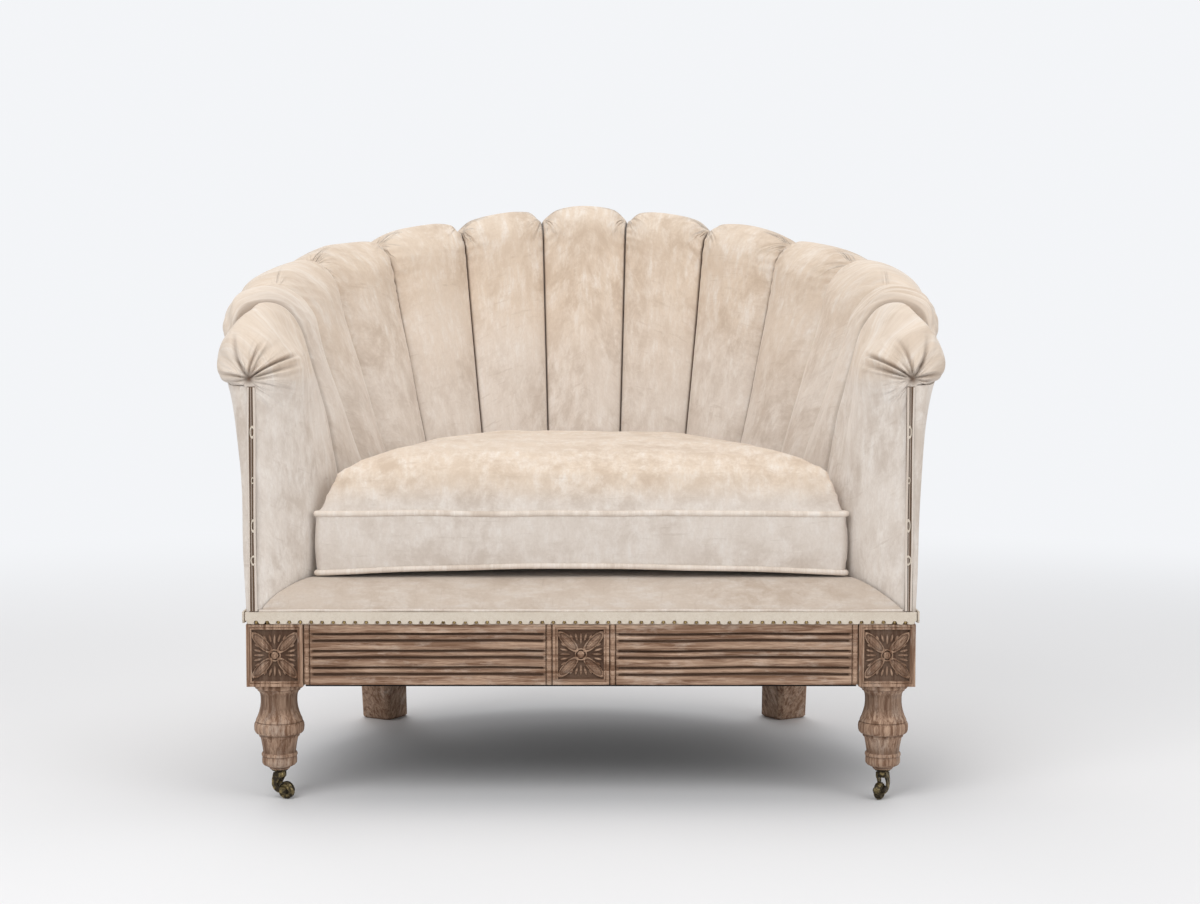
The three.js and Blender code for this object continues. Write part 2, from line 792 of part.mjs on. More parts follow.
function seatCushion() {
  const bottom = deckTop + seatedGap;
  const insetAt = (drawn) => (depth) => faceInset(depth) + faceClearance(depth) + cushionClearance + drawn;
  const ringOf = (drawn, height) => seatPlan(cushionFront + drawn, insetAt(drawn), height, cushionDraw);
  const rings = [
    ringOf(3 * cushionDraw, bottom),
    ringOf(cushionDraw, bottom + pipingRadius * 0.3),
    ringOf(0, bottom + pipingRadius),
    ringOf(cushionDraw, bottom + pipingRadius * 2),
    ringOf(cushionDraw * 0.4, mix(bottom, cushionTopSeam, 0.5)),
    ringOf(cushionDraw, cushionTopSeam - pipingRadius * 2),
    ringOf(0, cushionTopSeam - pipingRadius),
    ringOf(cushionDraw, cushionTopSeam),
  ];
  const rim = rings[rings.length - 1];
  const centre = new THREE.Vector3(0, cushionCentreY, cushionTopSeam);
  const roundest = cushionCentreY - cushionFront;
  cushionRingShares.forEach((spread) => {
    const rise = cushionCrown * Math.pow(1 - Math.pow(spread, cushionFullness), 1 / cushionFullness);
    rings.push(rim.map((point) => {
      const out = point.clone().sub(centre);
      const distance = mix(roundest, out.length(), spread) * spread;
      return out.setLength(distance).add(centre).setZ(cushionTopSeam + rise);
    }));
  });
  return loft(rings);
}

// Carving. Local axes on a front face: u across, v up, w out of the wood.

function onFront(centreX, centreZ, floor, points) {
  return points.map(([u, v, w]) => new THREE.Vector3(centreX + u, floor - w, centreZ + v));
}

const leafStepShares = [0, 0.16, 0.4, 0.65, 0.86, 1];

function carvedLeaf(centreX, centreZ, floor, turn, start, length, width, rise) {
  const [cos, sin] = [Math.cos(turn), Math.sin(turn)];
  const rings = leafStepShares.map((share) => {
    const swell = Math.sin(Math.PI * mix(0.06, 0.96, Math.pow(share, 0.8)));
    const [along, half] = [start + length * share, (width / 2) * swell];
    const corners = [[along, -half, -carvingRoot], [along, 0, rise * swell], [along, half, -carvingRoot]];
    const turned = corners.map(([a, b, w]) => [a * cos - b * sin, a * sin + b * cos, w]);
    return onFront(centreX, centreZ, floor, turned);
  });
  return loft(rings);
}

// Four diagonal petals, four small fans between them and a round button.
function rosette(centreX, centreZ, floor) {
  const reach = blockSize / 2 - carvedMargin;
  const parts = [];
  [0, 1, 2, 3].forEach((quarter) => {
    const straight = (quarter * Math.PI) / 2;
    const petalLength = reach * 1.22;
    parts.push(carvedLeaf(
      centreX, centreZ, floor, straight + Math.PI / 4, buttonRadius / 2, petalLength, petalWidth, petalRise,
    ));
    parts.push(carvedLeaf(
      centreX, centreZ, floor, straight, reach * 0.36, reach * 0.58, fanWidth, fanRise,
    ));
  });
  const button = lathe([
    [0, -carvingRoot],
    [buttonRadius, -carvingRoot],
    [buttonRadius, buttonRise * 0.5],
    [buttonRadius * 0.6, buttonRise],
    [0, buttonRise],
  ], smallLatheSteps);
  parts.push(button.rotateX(Math.PI / 2).translate(centreX, floor, centreZ));
  return joined(parts);
}

function carvedSquare(solid, centreX, centreZ) {
  const reach = blockSize / 2 - carvedMargin;
  const low = [centreX - reach, -carvedDepth, centreZ - reach];
  const recess = solidOf(box(low, [centreX + reach, carvedDepth, centreZ + reach]));
  return solid.subtract(recess).add(rosette(centreX, centreZ, carvedDepth));
}

// Section of the reeded panels, from the bottom up: bands, quirks with a bead, wide reeds.
function reededProfile() {
  const grooves = (sideRailHeight - 2 * panelBand - (beadCount - 1) * wideReed) / beadCount;
  const quirk = (grooves - beadWidth) / 2;
  const crest = panelGroove - beadRise;
  const points = [[panelGroove + carvingRoot, railBottom], [crest * 0.5, railBottom]];
  let height = railBottom + panelBand;
  points.push([crest * 0.5, height]);
  for (let bead = 0; bead < beadCount; bead += 1) {
    points.push([panelGroove, height + quirk * 0.3], [panelGroove, height + quirk]);
    points.push([crest + beadRise * 0.3, height + quirk + beadWidth * 0.15]);
    points.push([crest, height + grooves / 2]);
    points.push([crest + beadRise * 0.3, height + quirk + beadWidth * 0.85]);
    points.push([panelGroove, height + quirk + beadWidth], [panelGroove, height + grooves - quirk * 0.3]);
    height += grooves;
    if (bead < beadCount - 1) {
      points.push([crest, height], [crest * 0.5, height + wideReed / 2], [crest, height + wideReed]);
      height += wideReed;
    }
  }
  points.push([crest * 0.5, height], [crest * 0.5, baseTop], [panelGroove + carvingRoot, baseTop]);
  return points;
}

function reededPanel(fromX, toX) {
  const profile = reededProfile();
  return loft([fromX, toX].map((x) => profile.map(([y, z]) => new THREE.Vector3(x, y, z))));
}

const beadShares = [-1, -0.8, 0, 0.8, 1];

function uprightBead(centreX) {
  const half = cornerBead / 2;
  const section = beadShares.map((share) => [
    centreX + half * share,
    cornerBeadRise * Math.pow(Math.abs(share), 3),
  ]);
  section.push([centreX + half, panelGroove + carvingRoot], [centreX - half, panelGroove + carvingRoot]);
  return loft([railBottom, baseTop].map((z) => section.map(([x, y]) => new THREE.Vector3(x, y, z))));
}

function frontRail() {
  const end = legAxisX - blockSize / 2 - seatedGap;
  const centreHalf = blockSize / 2;
  const centreZ = (railBottom + baseTop) / 2;
  const core = box([-end, panelGroove, railBottom], [end, frontRailDepth, baseTop]);
  const middle = box([-centreHalf, 0, railBottom], [centreHalf, frontRailDepth, baseTop]);
  const parts = [core, middle];
  [-1, 1].forEach((side) => {
    parts.push(uprightBead(side * (end - cornerBead / 2)));
    parts.push(uprightBead(side * (centreHalf + cornerBead / 2)));
    const [inner, outer] = [side * (centreHalf + cornerBead), side * (end - cornerBead)];
    parts.push(reededPanel(Math.min(inner, outer), Math.max(inner, outer)));
  });
  return geometryOf(carvedSquare(joined(parts), 0, centreZ));
}

// Front leg: the carved block and the turning under it are one piece of wood.
function frontLeg() {
  const at = (share) => mix(legTip, blockBottom, share);
  const turned = [
    [0, blockBottom + blockSize / 2],
    [waistRadius, blockBottom + blockSize / 2],
    [waistRadius, blockBottom + carvingRoot],
    [collarRadius * 0.97, blockBottom + carvingRoot],
    [collarRadius, at(0.976)],
    [collarRadius * 0.96, at(0.94)],
    [neckRadius * 1.15, at(0.912)],
    [neckRadius, at(0.84)],
    [neckRadius * 1.02, at(0.728)],
    [neckRadius * 1.15, at(0.624)],
    [bulgeRadius * 0.97, at(0.528)],
    [bulgeRadius, at(0.472)],
    [bulgeRadius * 0.97, at(0.424)],
    [neckRadius * 1.11, at(0.4)],
    [neckRadius, at(0.36)],
    [waistRadius, at(0.2)],
    [ringRadius, at(0.152)],
    [ringRadius, at(0.072)],
    [tipRadius * 1.2, at(0.032)],
    [tipRadius, legTip],
    [socketRadius, legTip],
    [socketRadius, legTip + socketDepth],
    [0, legTip + socketDepth],
  ];
  const low = [legAxisX - blockSize / 2, 0, blockBottom];
  const block = box(low, [legAxisX + blockSize / 2, blockSize, baseTop]);
  const turning = lathe(turned, legSegments).translate(legAxisX, legAxisY, 0);
  return geometryOf(carvedSquare(joined([block, turning]), legAxisX, (blockBottom + baseTop) / 2));
}

// Back leg: a head between the curved rails, and a raked square leg with broken corners.
function backLegRing(height, scaleShare) {
  const top = frameStation(backLegShare).at(backLegTopInset);
  const rise = height / railBottom;
  const foot = new THREE.Vector2(top.x + backLegSplayX, top.y + backLegSplayY);
  const centre = foot.lerp(top, rise);
  const half = (backLegSize / 2) * scaleShare;
  const cut = half - backLegChamfer * scaleShare;
  const quarter = [[half, cut], [cut, half], [-cut, half], [-half, cut]];
  const corners = [...quarter, ...quarter.map(([x, y]) => [-x, -y])];
  const turn = THREE.MathUtils.degToRad(backLegTurn);
  return corners.map(([x, y]) => {
    const spot = new THREE.Vector2(x, y).rotateAround(new THREE.Vector2(), turn).add(centre);
    return new THREE.Vector3(spot.x, spot.y, height);
  });
}

function backLeg() {
  const head = sweep(
    frameRange(backLegShare - legHeadHalfShare, backLegShare + legHeadHalfShare, 2),
    baseRailOutline,
  );
  const shank = loft([
    backLegRing(0, backLegSoleShare),
    backLegRing(backLegChamfer / 2, backLegFootShare),
    backLegRing(railBottom - seatedGap, 1),
    backLegRing(railBottom - seatedGap, backLegTenonShare),
    backLegRing(railBottom + backLegTenon, backLegTenonShare),
  ]);
  return geometryOf(joined([head, shank]));
}

// Casters, each in a group that stands on the leg's axis and turns with the trail.

const plateBottom = legTip - seatedGap - casterPlateThickness;
const hornTop = plateBottom - runningGap;
const hornHeadBottom = hornTop - hornHeadHeight;
const cheekInner = wheelWidth / 2 + runningGap;
const cheekOuter = cheekInner + cheekThickness;

function casterPlate() {
  const plateTop = legTip - seatedGap;
  const pinHeadTop = hornHeadBottom - runningGap;
  const stemRadius = socketRadius - seatedGap;
  return lathe([
    [0, pinHeadTop - casterPinHeadHeight],
    [casterPinHeadRadius, pinHeadTop - casterPinHeadHeight],
    [casterPinHeadRadius, pinHeadTop],
    [casterPinRadius, pinHeadTop],
    [casterPinRadius, plateBottom],
    [casterPlateRadius * 0.62, plateBottom],
    [casterPlateRadius * 0.9, mix(plateBottom, plateTop, 0.35)],
    [casterPlateRadius, mix(plateBottom, plateTop, 0.8)],
    [casterPlateRadius, plateTop],
    [stemRadius, plateTop],
    [stemRadius, legTip + socketDepth - 2 * seatedGap],
    [0, legTip + socketDepth - 2 * seatedGap],
  ], latheSteps);
}

function casterCheek(side) {
  const shape = new THREE.Shape();
  const [eyeX, eyeZ, eye] = [casterTrail, wheelRadius, cheekWidth / 2];
  const [crown, belly] = [hornTop - hornHeadHeight * 0.1, mix(eyeZ, hornHeadBottom, 0.45)];
  shape.moveTo(-hornHeadRadius * 0.8, crown);
  shape.bezierCurveTo(-casterBelly * 1.3, belly, -casterBelly * 1.2, eyeZ - eye, eyeX, eyeZ - eye);
  shape.absarc(eyeX, eyeZ, eye, -Math.PI / 2, Math.PI / 2, false);
  shape.bezierCurveTo(-eye * 0.6, eyeZ + eye, -eye * 0.6, belly, hornHeadRadius * 0.8, hornHeadBottom);
  shape.lineTo(hornHeadRadius * 0.8, crown);
  const settings = { depth: cheekThickness, bevelEnabled: false, curveSegments: cheekSteps };
  const plate = new THREE.ExtrudeGeometry(shape, settings);
  plate.rotateX(Math.PI / 2);
  return plate.translate(0, side > 0 ? cheekOuter : -cheekInner, 0);
}

function casterHorn() {
  const head = lathe([
    [0, hornHeadBottom],
    [hornHeadRadius, hornHeadBottom],
    [hornHeadRadius * 1.08, mix(hornHeadBottom, hornTop, 0.5)],
    [hornHeadRadius, hornTop],
    [0, hornTop],
  ], latheSteps);
  const half = hornHeadRadius * 0.6;
  const bar = box([-half, -cheekOuter, hornHeadBottom], [half, cheekOuter, hornTop - carvingRoot]);
  const [boreRadius, eyeRadius] = [casterPinRadius + runningGap, axleRadius + seatedGap];
  const bore = new THREE.CylinderGeometry(boreRadius, boreRadius, 4 * hornHeadHeight, latheSteps);
  bore.rotateX(Math.PI / 2).translate(0, 0, hornTop);
  const eye = new THREE.CylinderGeometry(eyeRadius, eyeRadius, 4 * wheelWidth, smallLatheSteps);
  eye.translate(casterTrail, 0, wheelRadius);
  const solid = joined([head, bar, casterCheek(1), casterCheek(-1)]);
  return geometryOf(solid.subtract(solidOf(bore)).subtract(solidOf(eye)));
}

function casterAxle() {
  const headFoot = cheekOuter + seatedGap;
  const headEnd = headFoot + axleHeadThickness;
  const half = [
    [axleRadius, headFoot],
    [axleHeadRadius, headFoot],
    [axleHeadRadius * 0.8, headEnd],
    [0, headEnd],
  ];
  const mirroredHalf = half.map(([radius, along]) => [radius, -along]).reverse();
  return lathe([...mirroredHalf, ...half], smallLatheSteps).rotateX(Math.PI / 2);
}

function casterWheel() {
  const [bore, half] = [axleRadius + runningGap, wheelWidth / 2];
  const side = [
    [bore, half],
    [wheelRadius * 0.4, half],
    [wheelRadius * 0.5, half * 0.7],
    [wheelRadius * 0.75, half * 0.7],
    [wheelRadius * 0.85, half * 0.95],
    [wheelRadius, half * 0.5],
  ];
  const other = side.map(([radius, along]) => [radius, -along]).reverse();
  return lathe([...side, ...other, side[0]], wheelSteps).rotateX(Math.PI / 2);
}

function addCaster(sideName, side, turn) {
  const caster = new THREE.Group();
  caster.position.set(side * legAxisX, legAxisY, 0);
  caster.rotation.z = THREE.MathUtils.degToRad(turn);
  caster.add(addPiece(`${sideName}_caster_plate`, casterPlate(), brass));
  caster.add(addPiece(`${sideName}_caster_horn`, casterHorn(), brass));
  const axle = addPiece(`${sideName}_caster_axle`, casterAxle(), brass);
  const wheel = addPiece(`${sideName}_caster_wheel`, casterWheel(), brass);
  [axle, wheel].forEach((piece) => {
    piece.position.set(casterTrail, 0, wheelRadius);
    caster.add(piece);
  });
  chair.add(caster);
}

// Seat suspension: webbing under the rails, nine coil springs on it and a dust cover below.

const webbingTop = railBottom - seatedGap;
const rowYs = [0, 1, 2].map((row) => springFrontY + row * springPitch);
const columnXs = [-1, 0, 1].map((column) => column * springPitch);

function tubDepthAt(x, inset) {
  const share = x / (crestHalfWidth - inset);
  return archCentreY + (archDepth - inset * backInsetShare) * Math.sqrt(1 - share * share);
}

function tubHalfWidthAt(y, inset) {
  const share = Math.max(0, y - archCentreY) / (archDepth - inset * backInsetShare);
  return (crestHalfWidth - inset) * Math.sqrt(1 - share * share);
}

// Cuts a flat sheet clear of the back legs.
function clearOfBackLegs(sheet, height, room) {
  const ring = backLegRing(railBottom, 1 + (2 * room) / backLegSize);
  const ringAtHeight = (lift) => ring.map(({ x, y }) => new THREE.Vector3(x, y, height + lift));
  const cutter = loft([-room, room].map(ringAtHeight));
  return sheet.subtract(solidOf(cutter)).subtract(solidOf(mirrored(cutter)));
}

function seatWebbing() {
  const half = webbingWidth / 2;
  const [low, high] = [webbingTop - webbingThickness, webbingTop];
  const strips = columnXs.map((x) => {
    const back = tubDepthAt(Math.abs(x) + half, webbingInset);
    return box([x - half, webbingFront, low], [x + half, back, high]);
  });
  rowYs.forEach((y) => {
    const reach = tubHalfWidthAt(y + half, webbingInset);
    strips.push(box([-reach, y - half, low], [reach, y + half, high]));
  });
  return geometryOf(clearOfBackLegs(joined(strips), webbingTop, 2 * webbingThickness));
}

function coilSpring(x, y) {
  const steps = springTurns * springTurnSteps;
  const bottom = webbingTop + seatedGap + springWireRadius;
  const top = deckBottom - seatedGap - springWireRadius;
  const rings = [];
  for (let step = 0; step <= steps; step += 1) {
    const share = step / steps;
    const angle = share * springTurns * 2 * Math.PI;
    const radius = mix(springEndRadius, springWaistRadius, Math.sin(Math.PI * share));
    const out = new THREE.Vector3(Math.cos(angle), Math.sin(angle), 0);
    const centre = out.clone().multiplyScalar(radius).add(new THREE.Vector3(x, y, mix(bottom, top, share)));
    const up = new THREE.Vector3(0, 0, 1);
    rings.push([[1, 0], [0, 1], [-1, 0], [0, -1]].map(([a, b]) => centre.clone()
      .addScaledVector(out, a * springWireRadius)
      .addScaledVector(up, b * springWireRadius)));
  }
  return loft(rings);
}

function dustCover() {
  const top = webbingTop - webbingThickness - seatedGap;
  const end = crestSeamShares[channelsPerSide - 1];
  const arc = frameRange(end, -end, 2 * outlineSteps).map((station) => station.at(dustCoverInset));
  const edge = crestHalfWidth - dustCoverInset;
  const plan = [new THREE.Vector2(-edge, dustCoverFront), new THREE.Vector2(edge, dustCoverFront), ...arc];
  const ringAtHeight = (height) => plan.map(({ x, y }) => new THREE.Vector3(x, y, height));
  const room = 2 * dustCoverThickness;
  let sheet = clearOfBackLegs(solidOf(loft([top - dustCoverThickness, top].map(ringAtHeight))), top, room);
  const reach = blockSize / 2 + room;
  [-legAxisX, legAxisX].forEach((axis) => {
    const corner = box([axis - reach, -room, top - room], [axis + reach, blockSize + room, top + room]);
    sheet = sheet.subtract(solidOf(corner));
  });
  return geometryOf(sheet);
}

function cornerBlock() {
  const x = legAxisX - blockSize / 2 - seatedGap;
  const y = frontRailDepth + seatedGap;
  const plan = [[x, y], [x, blockSize], [x - cornerBlockReach, y]];
  const heights = [railBottom + cornerBlockMargin, baseTop - cornerBlockMargin];
  return loft(heights.map((height) => plan.map(([px, py]) => new THREE.Vector3(px, py, height))));
}

// Assembly.

function addPair(name, geometry, material) {
  addPiece(`right_${name}`, geometry, material);
  addPiece(`left_${name}`, mirrored(geometry), material);
}

addPiece("front_rail", frontRail(), wood);
addPair("front_leg", frontLeg(), wood);
addPair("side_rail", sideRail(), wood);
addPiece("back_rail", backRail(), wood);
addPair("back_leg", backLeg(), wood);
addPair("corner_block", cornerBlock(), innerWood);
addPair("arm_post", armPost(), innerWood);
addPair("arm_rail", armRail(), innerWood);
addPair("back_stile", upright(stileChannel, stileWidth), innerWood);
addPiece("back_centre_upright", upright(0, centreUprightWidth), innerWood);
addPiece("crest_rail", crestRail(), innerWood);

addPiece("back_channel_centre", channelPad(0), velvet);
for (let channel = 1; channel <= channelsPerSide; channel += 1) {
  addPiece(`right_channel_${channel}`, channelPad(channel), velvet);
  addPiece(`left_channel_${channel}`, channelPad(-channel), velvet);
}
addPair("arm_front_panel", armPanel(), velvet);
addPair("outside_arm_cover", outsideArm(), velvet);
addPiece("outside_back_cover", outsideBack(), velvet);
addPair("facing_strip", facingStrip(), tape);
addPiece("front_trim_band", frontBand(), tape);
addPiece("tub_trim_band", tubBand(), tape);

addPiece("seat_deck", seatDeck(), velvet);
addPiece("seat_cushion", seatCushion(), velvet);
addPiece("seat_webbing", seatWebbing(), jute);
rowYs.forEach((y, row) => {
  columnXs.forEach((x, column) => addPiece(`coil_spring_${row * 3 + column + 1}`, coilSpring(x, y), steel));
});
addPiece("dust_cover", dustCover(), lining);

addCaster("right", 1, rightCasterTurn);
addCaster("left", -1, leftCasterTurn);

// Origin at the middle of the footprint, on the floor.
const whole = new THREE.Group();
whole.add(chair);
whole.updateMatrixWorld(true);
const reach = new THREE.Box3().setFromObject(whole, true);
chair.position.set(-(reach.min.x + reach.max.x) / 2, -(reach.min.y + reach.max.y) / 2, -reach.min.z);

export default whole;
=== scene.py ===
import math
from contextlib import contextmanager

import bpy
import numpy as np
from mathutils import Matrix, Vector


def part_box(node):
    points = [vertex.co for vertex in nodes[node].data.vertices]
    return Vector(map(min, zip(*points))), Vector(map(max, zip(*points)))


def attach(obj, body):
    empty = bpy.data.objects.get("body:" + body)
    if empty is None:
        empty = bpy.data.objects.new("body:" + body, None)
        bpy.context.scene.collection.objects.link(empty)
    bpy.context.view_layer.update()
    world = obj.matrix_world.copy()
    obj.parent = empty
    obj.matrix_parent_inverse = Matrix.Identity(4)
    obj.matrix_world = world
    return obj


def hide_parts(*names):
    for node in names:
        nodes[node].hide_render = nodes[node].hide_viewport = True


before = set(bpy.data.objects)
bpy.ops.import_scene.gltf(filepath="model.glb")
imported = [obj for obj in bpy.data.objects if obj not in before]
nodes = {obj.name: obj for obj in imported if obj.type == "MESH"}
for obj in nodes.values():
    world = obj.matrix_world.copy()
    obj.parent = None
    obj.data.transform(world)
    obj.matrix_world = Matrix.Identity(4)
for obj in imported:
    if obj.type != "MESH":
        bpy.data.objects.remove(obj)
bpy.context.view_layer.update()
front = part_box("front_rail")[0].y  # front face of the rail and of the leg blocks
origin = (0, 0, 0)
quarterTurn = math.pi / 2
weldReach = 0.00002  # points closer than this become one


# Small helpers for the operators.

def deselectAll():
    if bpy.context.object and bpy.context.object.mode != "OBJECT":
        bpy.ops.object.mode_set(mode="OBJECT")
    bpy.ops.object.select_all(action="DESELECT")


def activate(*pieces):
    deselectAll()
    for piece in pieces:
        piece.select_set(True)
    bpy.context.view_layer.objects.active = pieces[0]


@contextmanager
def editing(pick="SELECT"):
    # edit mode on the active piece, with everything picked or what was picked before
    bpy.ops.object.mode_set(mode="EDIT")
    if pick:
        bpy.ops.mesh.select_all(action=pick)
    yield
    bpy.ops.object.mode_set(mode="OBJECT")


def pickOnly(piece, kind, test):
    # leaves only the vertices or faces picked that pass the test
    activate(piece)
    with editing("DESELECT"):
        bpy.ops.mesh.select_mode(type=kind)
    for item in piece.data.vertices if kind == "VERT" else piece.data.polygons:
        item.select = bool(test(item))


def rotate(angle, axis):
    bpy.ops.transform.rotate(value=angle, orient_axis=axis, center_override=origin)


def resize(size, about=origin):
    bpy.ops.transform.resize(value=size, center_override=about)


def facesOutwards():
    with editing():
        bpy.ops.mesh.normals_make_consistent(inside=False)


def freshPiece(add, name, **settings):
    deselectAll()
    add(location=origin, **settings)
    bpy.context.object.name = name
    return bpy.context.object


def addObject(name, data):
    piece = bpy.data.objects.new(name, data)
    bpy.context.scene.collection.objects.link(piece)
    return piece


def joinedPieces(name, pieces):
    activate(*pieces)
    bpy.ops.object.join()
    bpy.context.object.name = name
    return bpy.context.object


def applyModifier(piece, kind, **settings):
    activate(piece)
    modifier = piece.modifiers.new(kind.lower(), kind)
    for key, value in settings.items():
        setattr(modifier, key, value)
    bpy.ops.object.modifier_apply(modifier=modifier.name)


def vectorsOf(items, field):
    values = np.empty(len(items) * 3)
    items.foreach_get(field, values)
    return values.reshape(-1, 3)


def pointsOf(piece):
    return vectorsOf(piece.data.vertices, "co")


def normalsOf(piece):
    return vectorsOf(piece.data.vertex_normals, "vector")


def columns(*parts):
    return np.column_stack(np.broadcast_arrays(*parts))


def unitOf(vectors):
    return vectors / np.linalg.norm(vectors, axis=1)[:, None]


def stepsOf(path):
    return np.linalg.norm(np.diff(path, axis=0), axis=1)


def lengthsOf(path):
    return np.concatenate([[0], np.cumsum(stepsOf(path))])


def movePoints(piece, points):
    piece.data.vertices.foreach_set("co", points.astype(np.float32).ravel())
    piece.data.update()


def storeFloat(piece, name, values):
    full = np.full(len(piece.data.vertices), 1.0, np.float32) * values
    attribute = piece.data.attributes.new(name, "FLOAT", "POINT")
    attribute.data.foreach_set("value", full.astype(np.float32))


def storeVector(piece, name, values):
    attribute = piece.data.attributes.new(name, "FLOAT_VECTOR", "POINT")
    attribute.data.foreach_set("vector", values.astype(np.float32).ravel())


def rippleAt(points, waves, seed, count=9):
    # smooth rolling unevenness: sine waves of about this many per metre in seeded directions
    random = np.random.default_rng(seed)
    total = np.zeros(len(points))
    for _ in range(count):
        direction = random.normal(size=3)
        direction *= random.uniform(0.6, 1.4) * waves * 2 * math.pi / np.linalg.norm(direction)
        total += np.sin(points @ direction + random.uniform(0, 2 * math.pi))
    return total / math.sqrt(count)


def smoothStep(low, high, values):
    share = np.clip((values - low) / (high - low), 0, 1)
    return share * share * (3 - 2 * share)


def bellAt(values, width):
    return np.exp(-((values / width) ** 2))


def tubeAlong(name, points, radius, closed, roundness=3):
    curve = bpy.data.curves.new(name, "CURVE")
    curve.dimensions = "3D"
    curve.bevel_depth = radius
    curve.bevel_resolution = roundness
    curve.use_fill_caps = True
    spline = curve.splines.new("POLY")
    spline.points.add(len(points) - 1)
    for spot, point in zip(spline.points, points):
        spot.co = (*point, 1)
    spline.use_cyclic_u = closed
    activate(addObject(name, curve))
    bpy.ops.object.convert(target="MESH")
    bpy.ops.object.shade_smooth()
    return bpy.context.object


def finishPiece(piece, body, slot, material, *replaced):
    piece.data.materials.clear()
    piece.data.materials.append(finishes[material])
    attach(piece, body)
    if replaced:
        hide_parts(*replaced)


def smoothed(piece, corner=None):
    # soft shading, broken at the corners where an angle is given
    activate(piece)
    if corner:
        bpy.ops.object.shade_smooth_by_angle(angle=math.radians(corner))
    else:
        bpy.ops.object.shade_smooth()


def upholster(piece, nap, napLightTone, *replaced, seam=0.0, fan=None, body="root"):
    # what the velvet reads at each point: the cloth's own directions, a painted light tone (warm tan crowns, paler
    # sheen below), painted shade at seams, in grooves and over shaded parts, and gathers
    nap = columns(*nap)
    storeVector(piece, "nap", nap)
    storeVector(piece, "fan", np.zeros((len(nap), 3)) if fan is None else fan)
    storeFloat(piece, "napLightTone", napLightTone)
    storeFloat(piece, "seamShade", seam)
    finishPiece(piece, body, "velvet", "velvet", *replaced)


# Shader nodes.

def put(tree, socket, value):
    # sets a plain value on a socket, or links an output to it
    if isinstance(value, tuple):
        socket.default_value = (*value, 1) if socket.type == "RGBA" and len(value) == 3 else value
    elif isinstance(value, (int, float)):
        socket.default_value = value
    else:
        tree.links.new(value, socket)


def addNode(tree, kind, inputs=None, **settings):
    node = tree.nodes.new("ShaderNode" + kind)
    for key, value in settings.items():
        setattr(node, key, value)
    for title, value in (inputs or {}).items():
        put(tree, node.inputs[title], value)
    return node


def mathOf(tree, operation, *values):
    return addNode(tree, "Math", dict(enumerate(values)), operation=operation).outputs[0]


def times(tree, first, second):
    return mathOf(tree, "MULTIPLY", first, second)


def stretched(tree, vector, scale, turn=origin):
    return addNode(tree, "Mapping", {"Scale": scale, "Rotation": turn, "Vector": vector}).outputs[0]


def noiseOf(tree, vector, scale, detail=3, roughness=0.55, distortion=0.0):
    if isinstance(scale, tuple):
        vector, scale = stretched(tree, vector, scale), 1
    return addNode(tree, "TexNoise", {"Vector": vector, "Scale": scale, "Detail": detail, "Roughness": roughness,
                                      "Distortion": distortion}).outputs[0]


def ranged(tree, value, low, high, toLow=0.0, toHigh=1.0):
    return addNode(tree, "MapRange", {"Value": value, "From Min": low, "From Max": high, "To Min": toLow,
                                      "To Max": toHigh}).outputs[0]


def colorMix(tree, share, first, second):
    return addNode(tree, "Mix", {0: share, 6: first, 7: second}, data_type="RGBA").outputs[2]


def layered(tree, color, *layers):
    # each layer: mask, its low and high ends, how strongly and which colour it lays over
    for mask, low, high, share, tint in layers:
        color = colorMix(tree, ranged(tree, mask, low, high, 0.0, share), color, tint)
    return color


def objectPlace(tree):
    return addNode(tree, "TexCoord").outputs["Object"]


def attributeOf(tree, name, output="Fac"):
    return addNode(tree, "Attribute", attribute_name=name).outputs[output]


def startMaterial(name, **settings):
    material = bpy.data.materials.new(name)
    material.use_nodes = True
    surface = material.node_tree.nodes["Principled BSDF"]
    for title, value in settings.items():
        surface.inputs[title.replace("_", " ")].default_value = value
    return material, material.node_tree, surface


def bumped(tree, surface, height, strength, distance, **under):
    bump = addNode(tree, "Bump", {"Strength": strength, "Distance": distance, "Height": height, **under})
    tree.links.new(bump.outputs[0], surface.inputs["Normal"])
    return bump.outputs[0]


# Camera, lights and floor.

cameraPlace = {
    "location": (0.027, -3.42069, 0.713),
    "tiltDegrees": 86,
    "lens": 64.92,
}

lamps = {
    "keySoftbox": {"location": (-1.5, -3.0, 3.1), "target": (0, 0, 0.4), "size": 2.6, "power": 74},
    "fillSoftbox": {"location": (2.6, -2.6, 2.0), "target": (0, 0, 0.4), "size": 2.4, "power": 34},
    "topSoftbox": {"location": (0.2, 0.5, 3.4), "target": (0, 0.1, 0.4), "size": 2.8, "power": 34},
    "backSoftbox": {"location": (-1.2, 3.2, 2.4), "target": (0, 0, 0.5), "size": 2.4, "power": 24},
}

studio = {
    "worldStrength": 0.5,
    "backdropColor": (0.90, 0.912, 0.935),
    "floorColor": (0.80, 0.80, 0.81, 1),
    "floorRadius": 14,
    "fadeStart": 1.1,
    "fadeEnd": 3.4,
}


def addCamera(values):
    data = bpy.data.cameras.new("photoCamera")
    data.lens = values["lens"]
    data.sensor_width = 36
    data.clip_end = 60
    camera = addObject("photoCamera", data)
    camera.location = values["location"]
    camera.rotation_euler = (math.radians(values["tiltDegrees"]), 0, 0)
    bpy.context.scene.camera = camera


def addLamp(name, values):
    data = bpy.data.lights.new(name, "AREA")
    data.size = values["size"]
    data.energy = values["power"]
    lamp = addObject(name, data)
    lamp.location = values["location"]
    aim = Vector(values["target"]) - lamp.location
    lamp.rotation_euler = aim.to_track_quat("-Z", "Y").to_euler()


def seenDirectly(tree):
    # 1 for what the camera, a mirror or clear glass sees, 0 for the light on things
    path = addNode(tree, "LightPath").outputs
    direct = mathOf(tree, "MAXIMUM", path["Is Camera Ray"], path["Is Glossy Ray"])
    return mathOf(tree, "MAXIMUM", direct, path["Is Transmission Ray"])


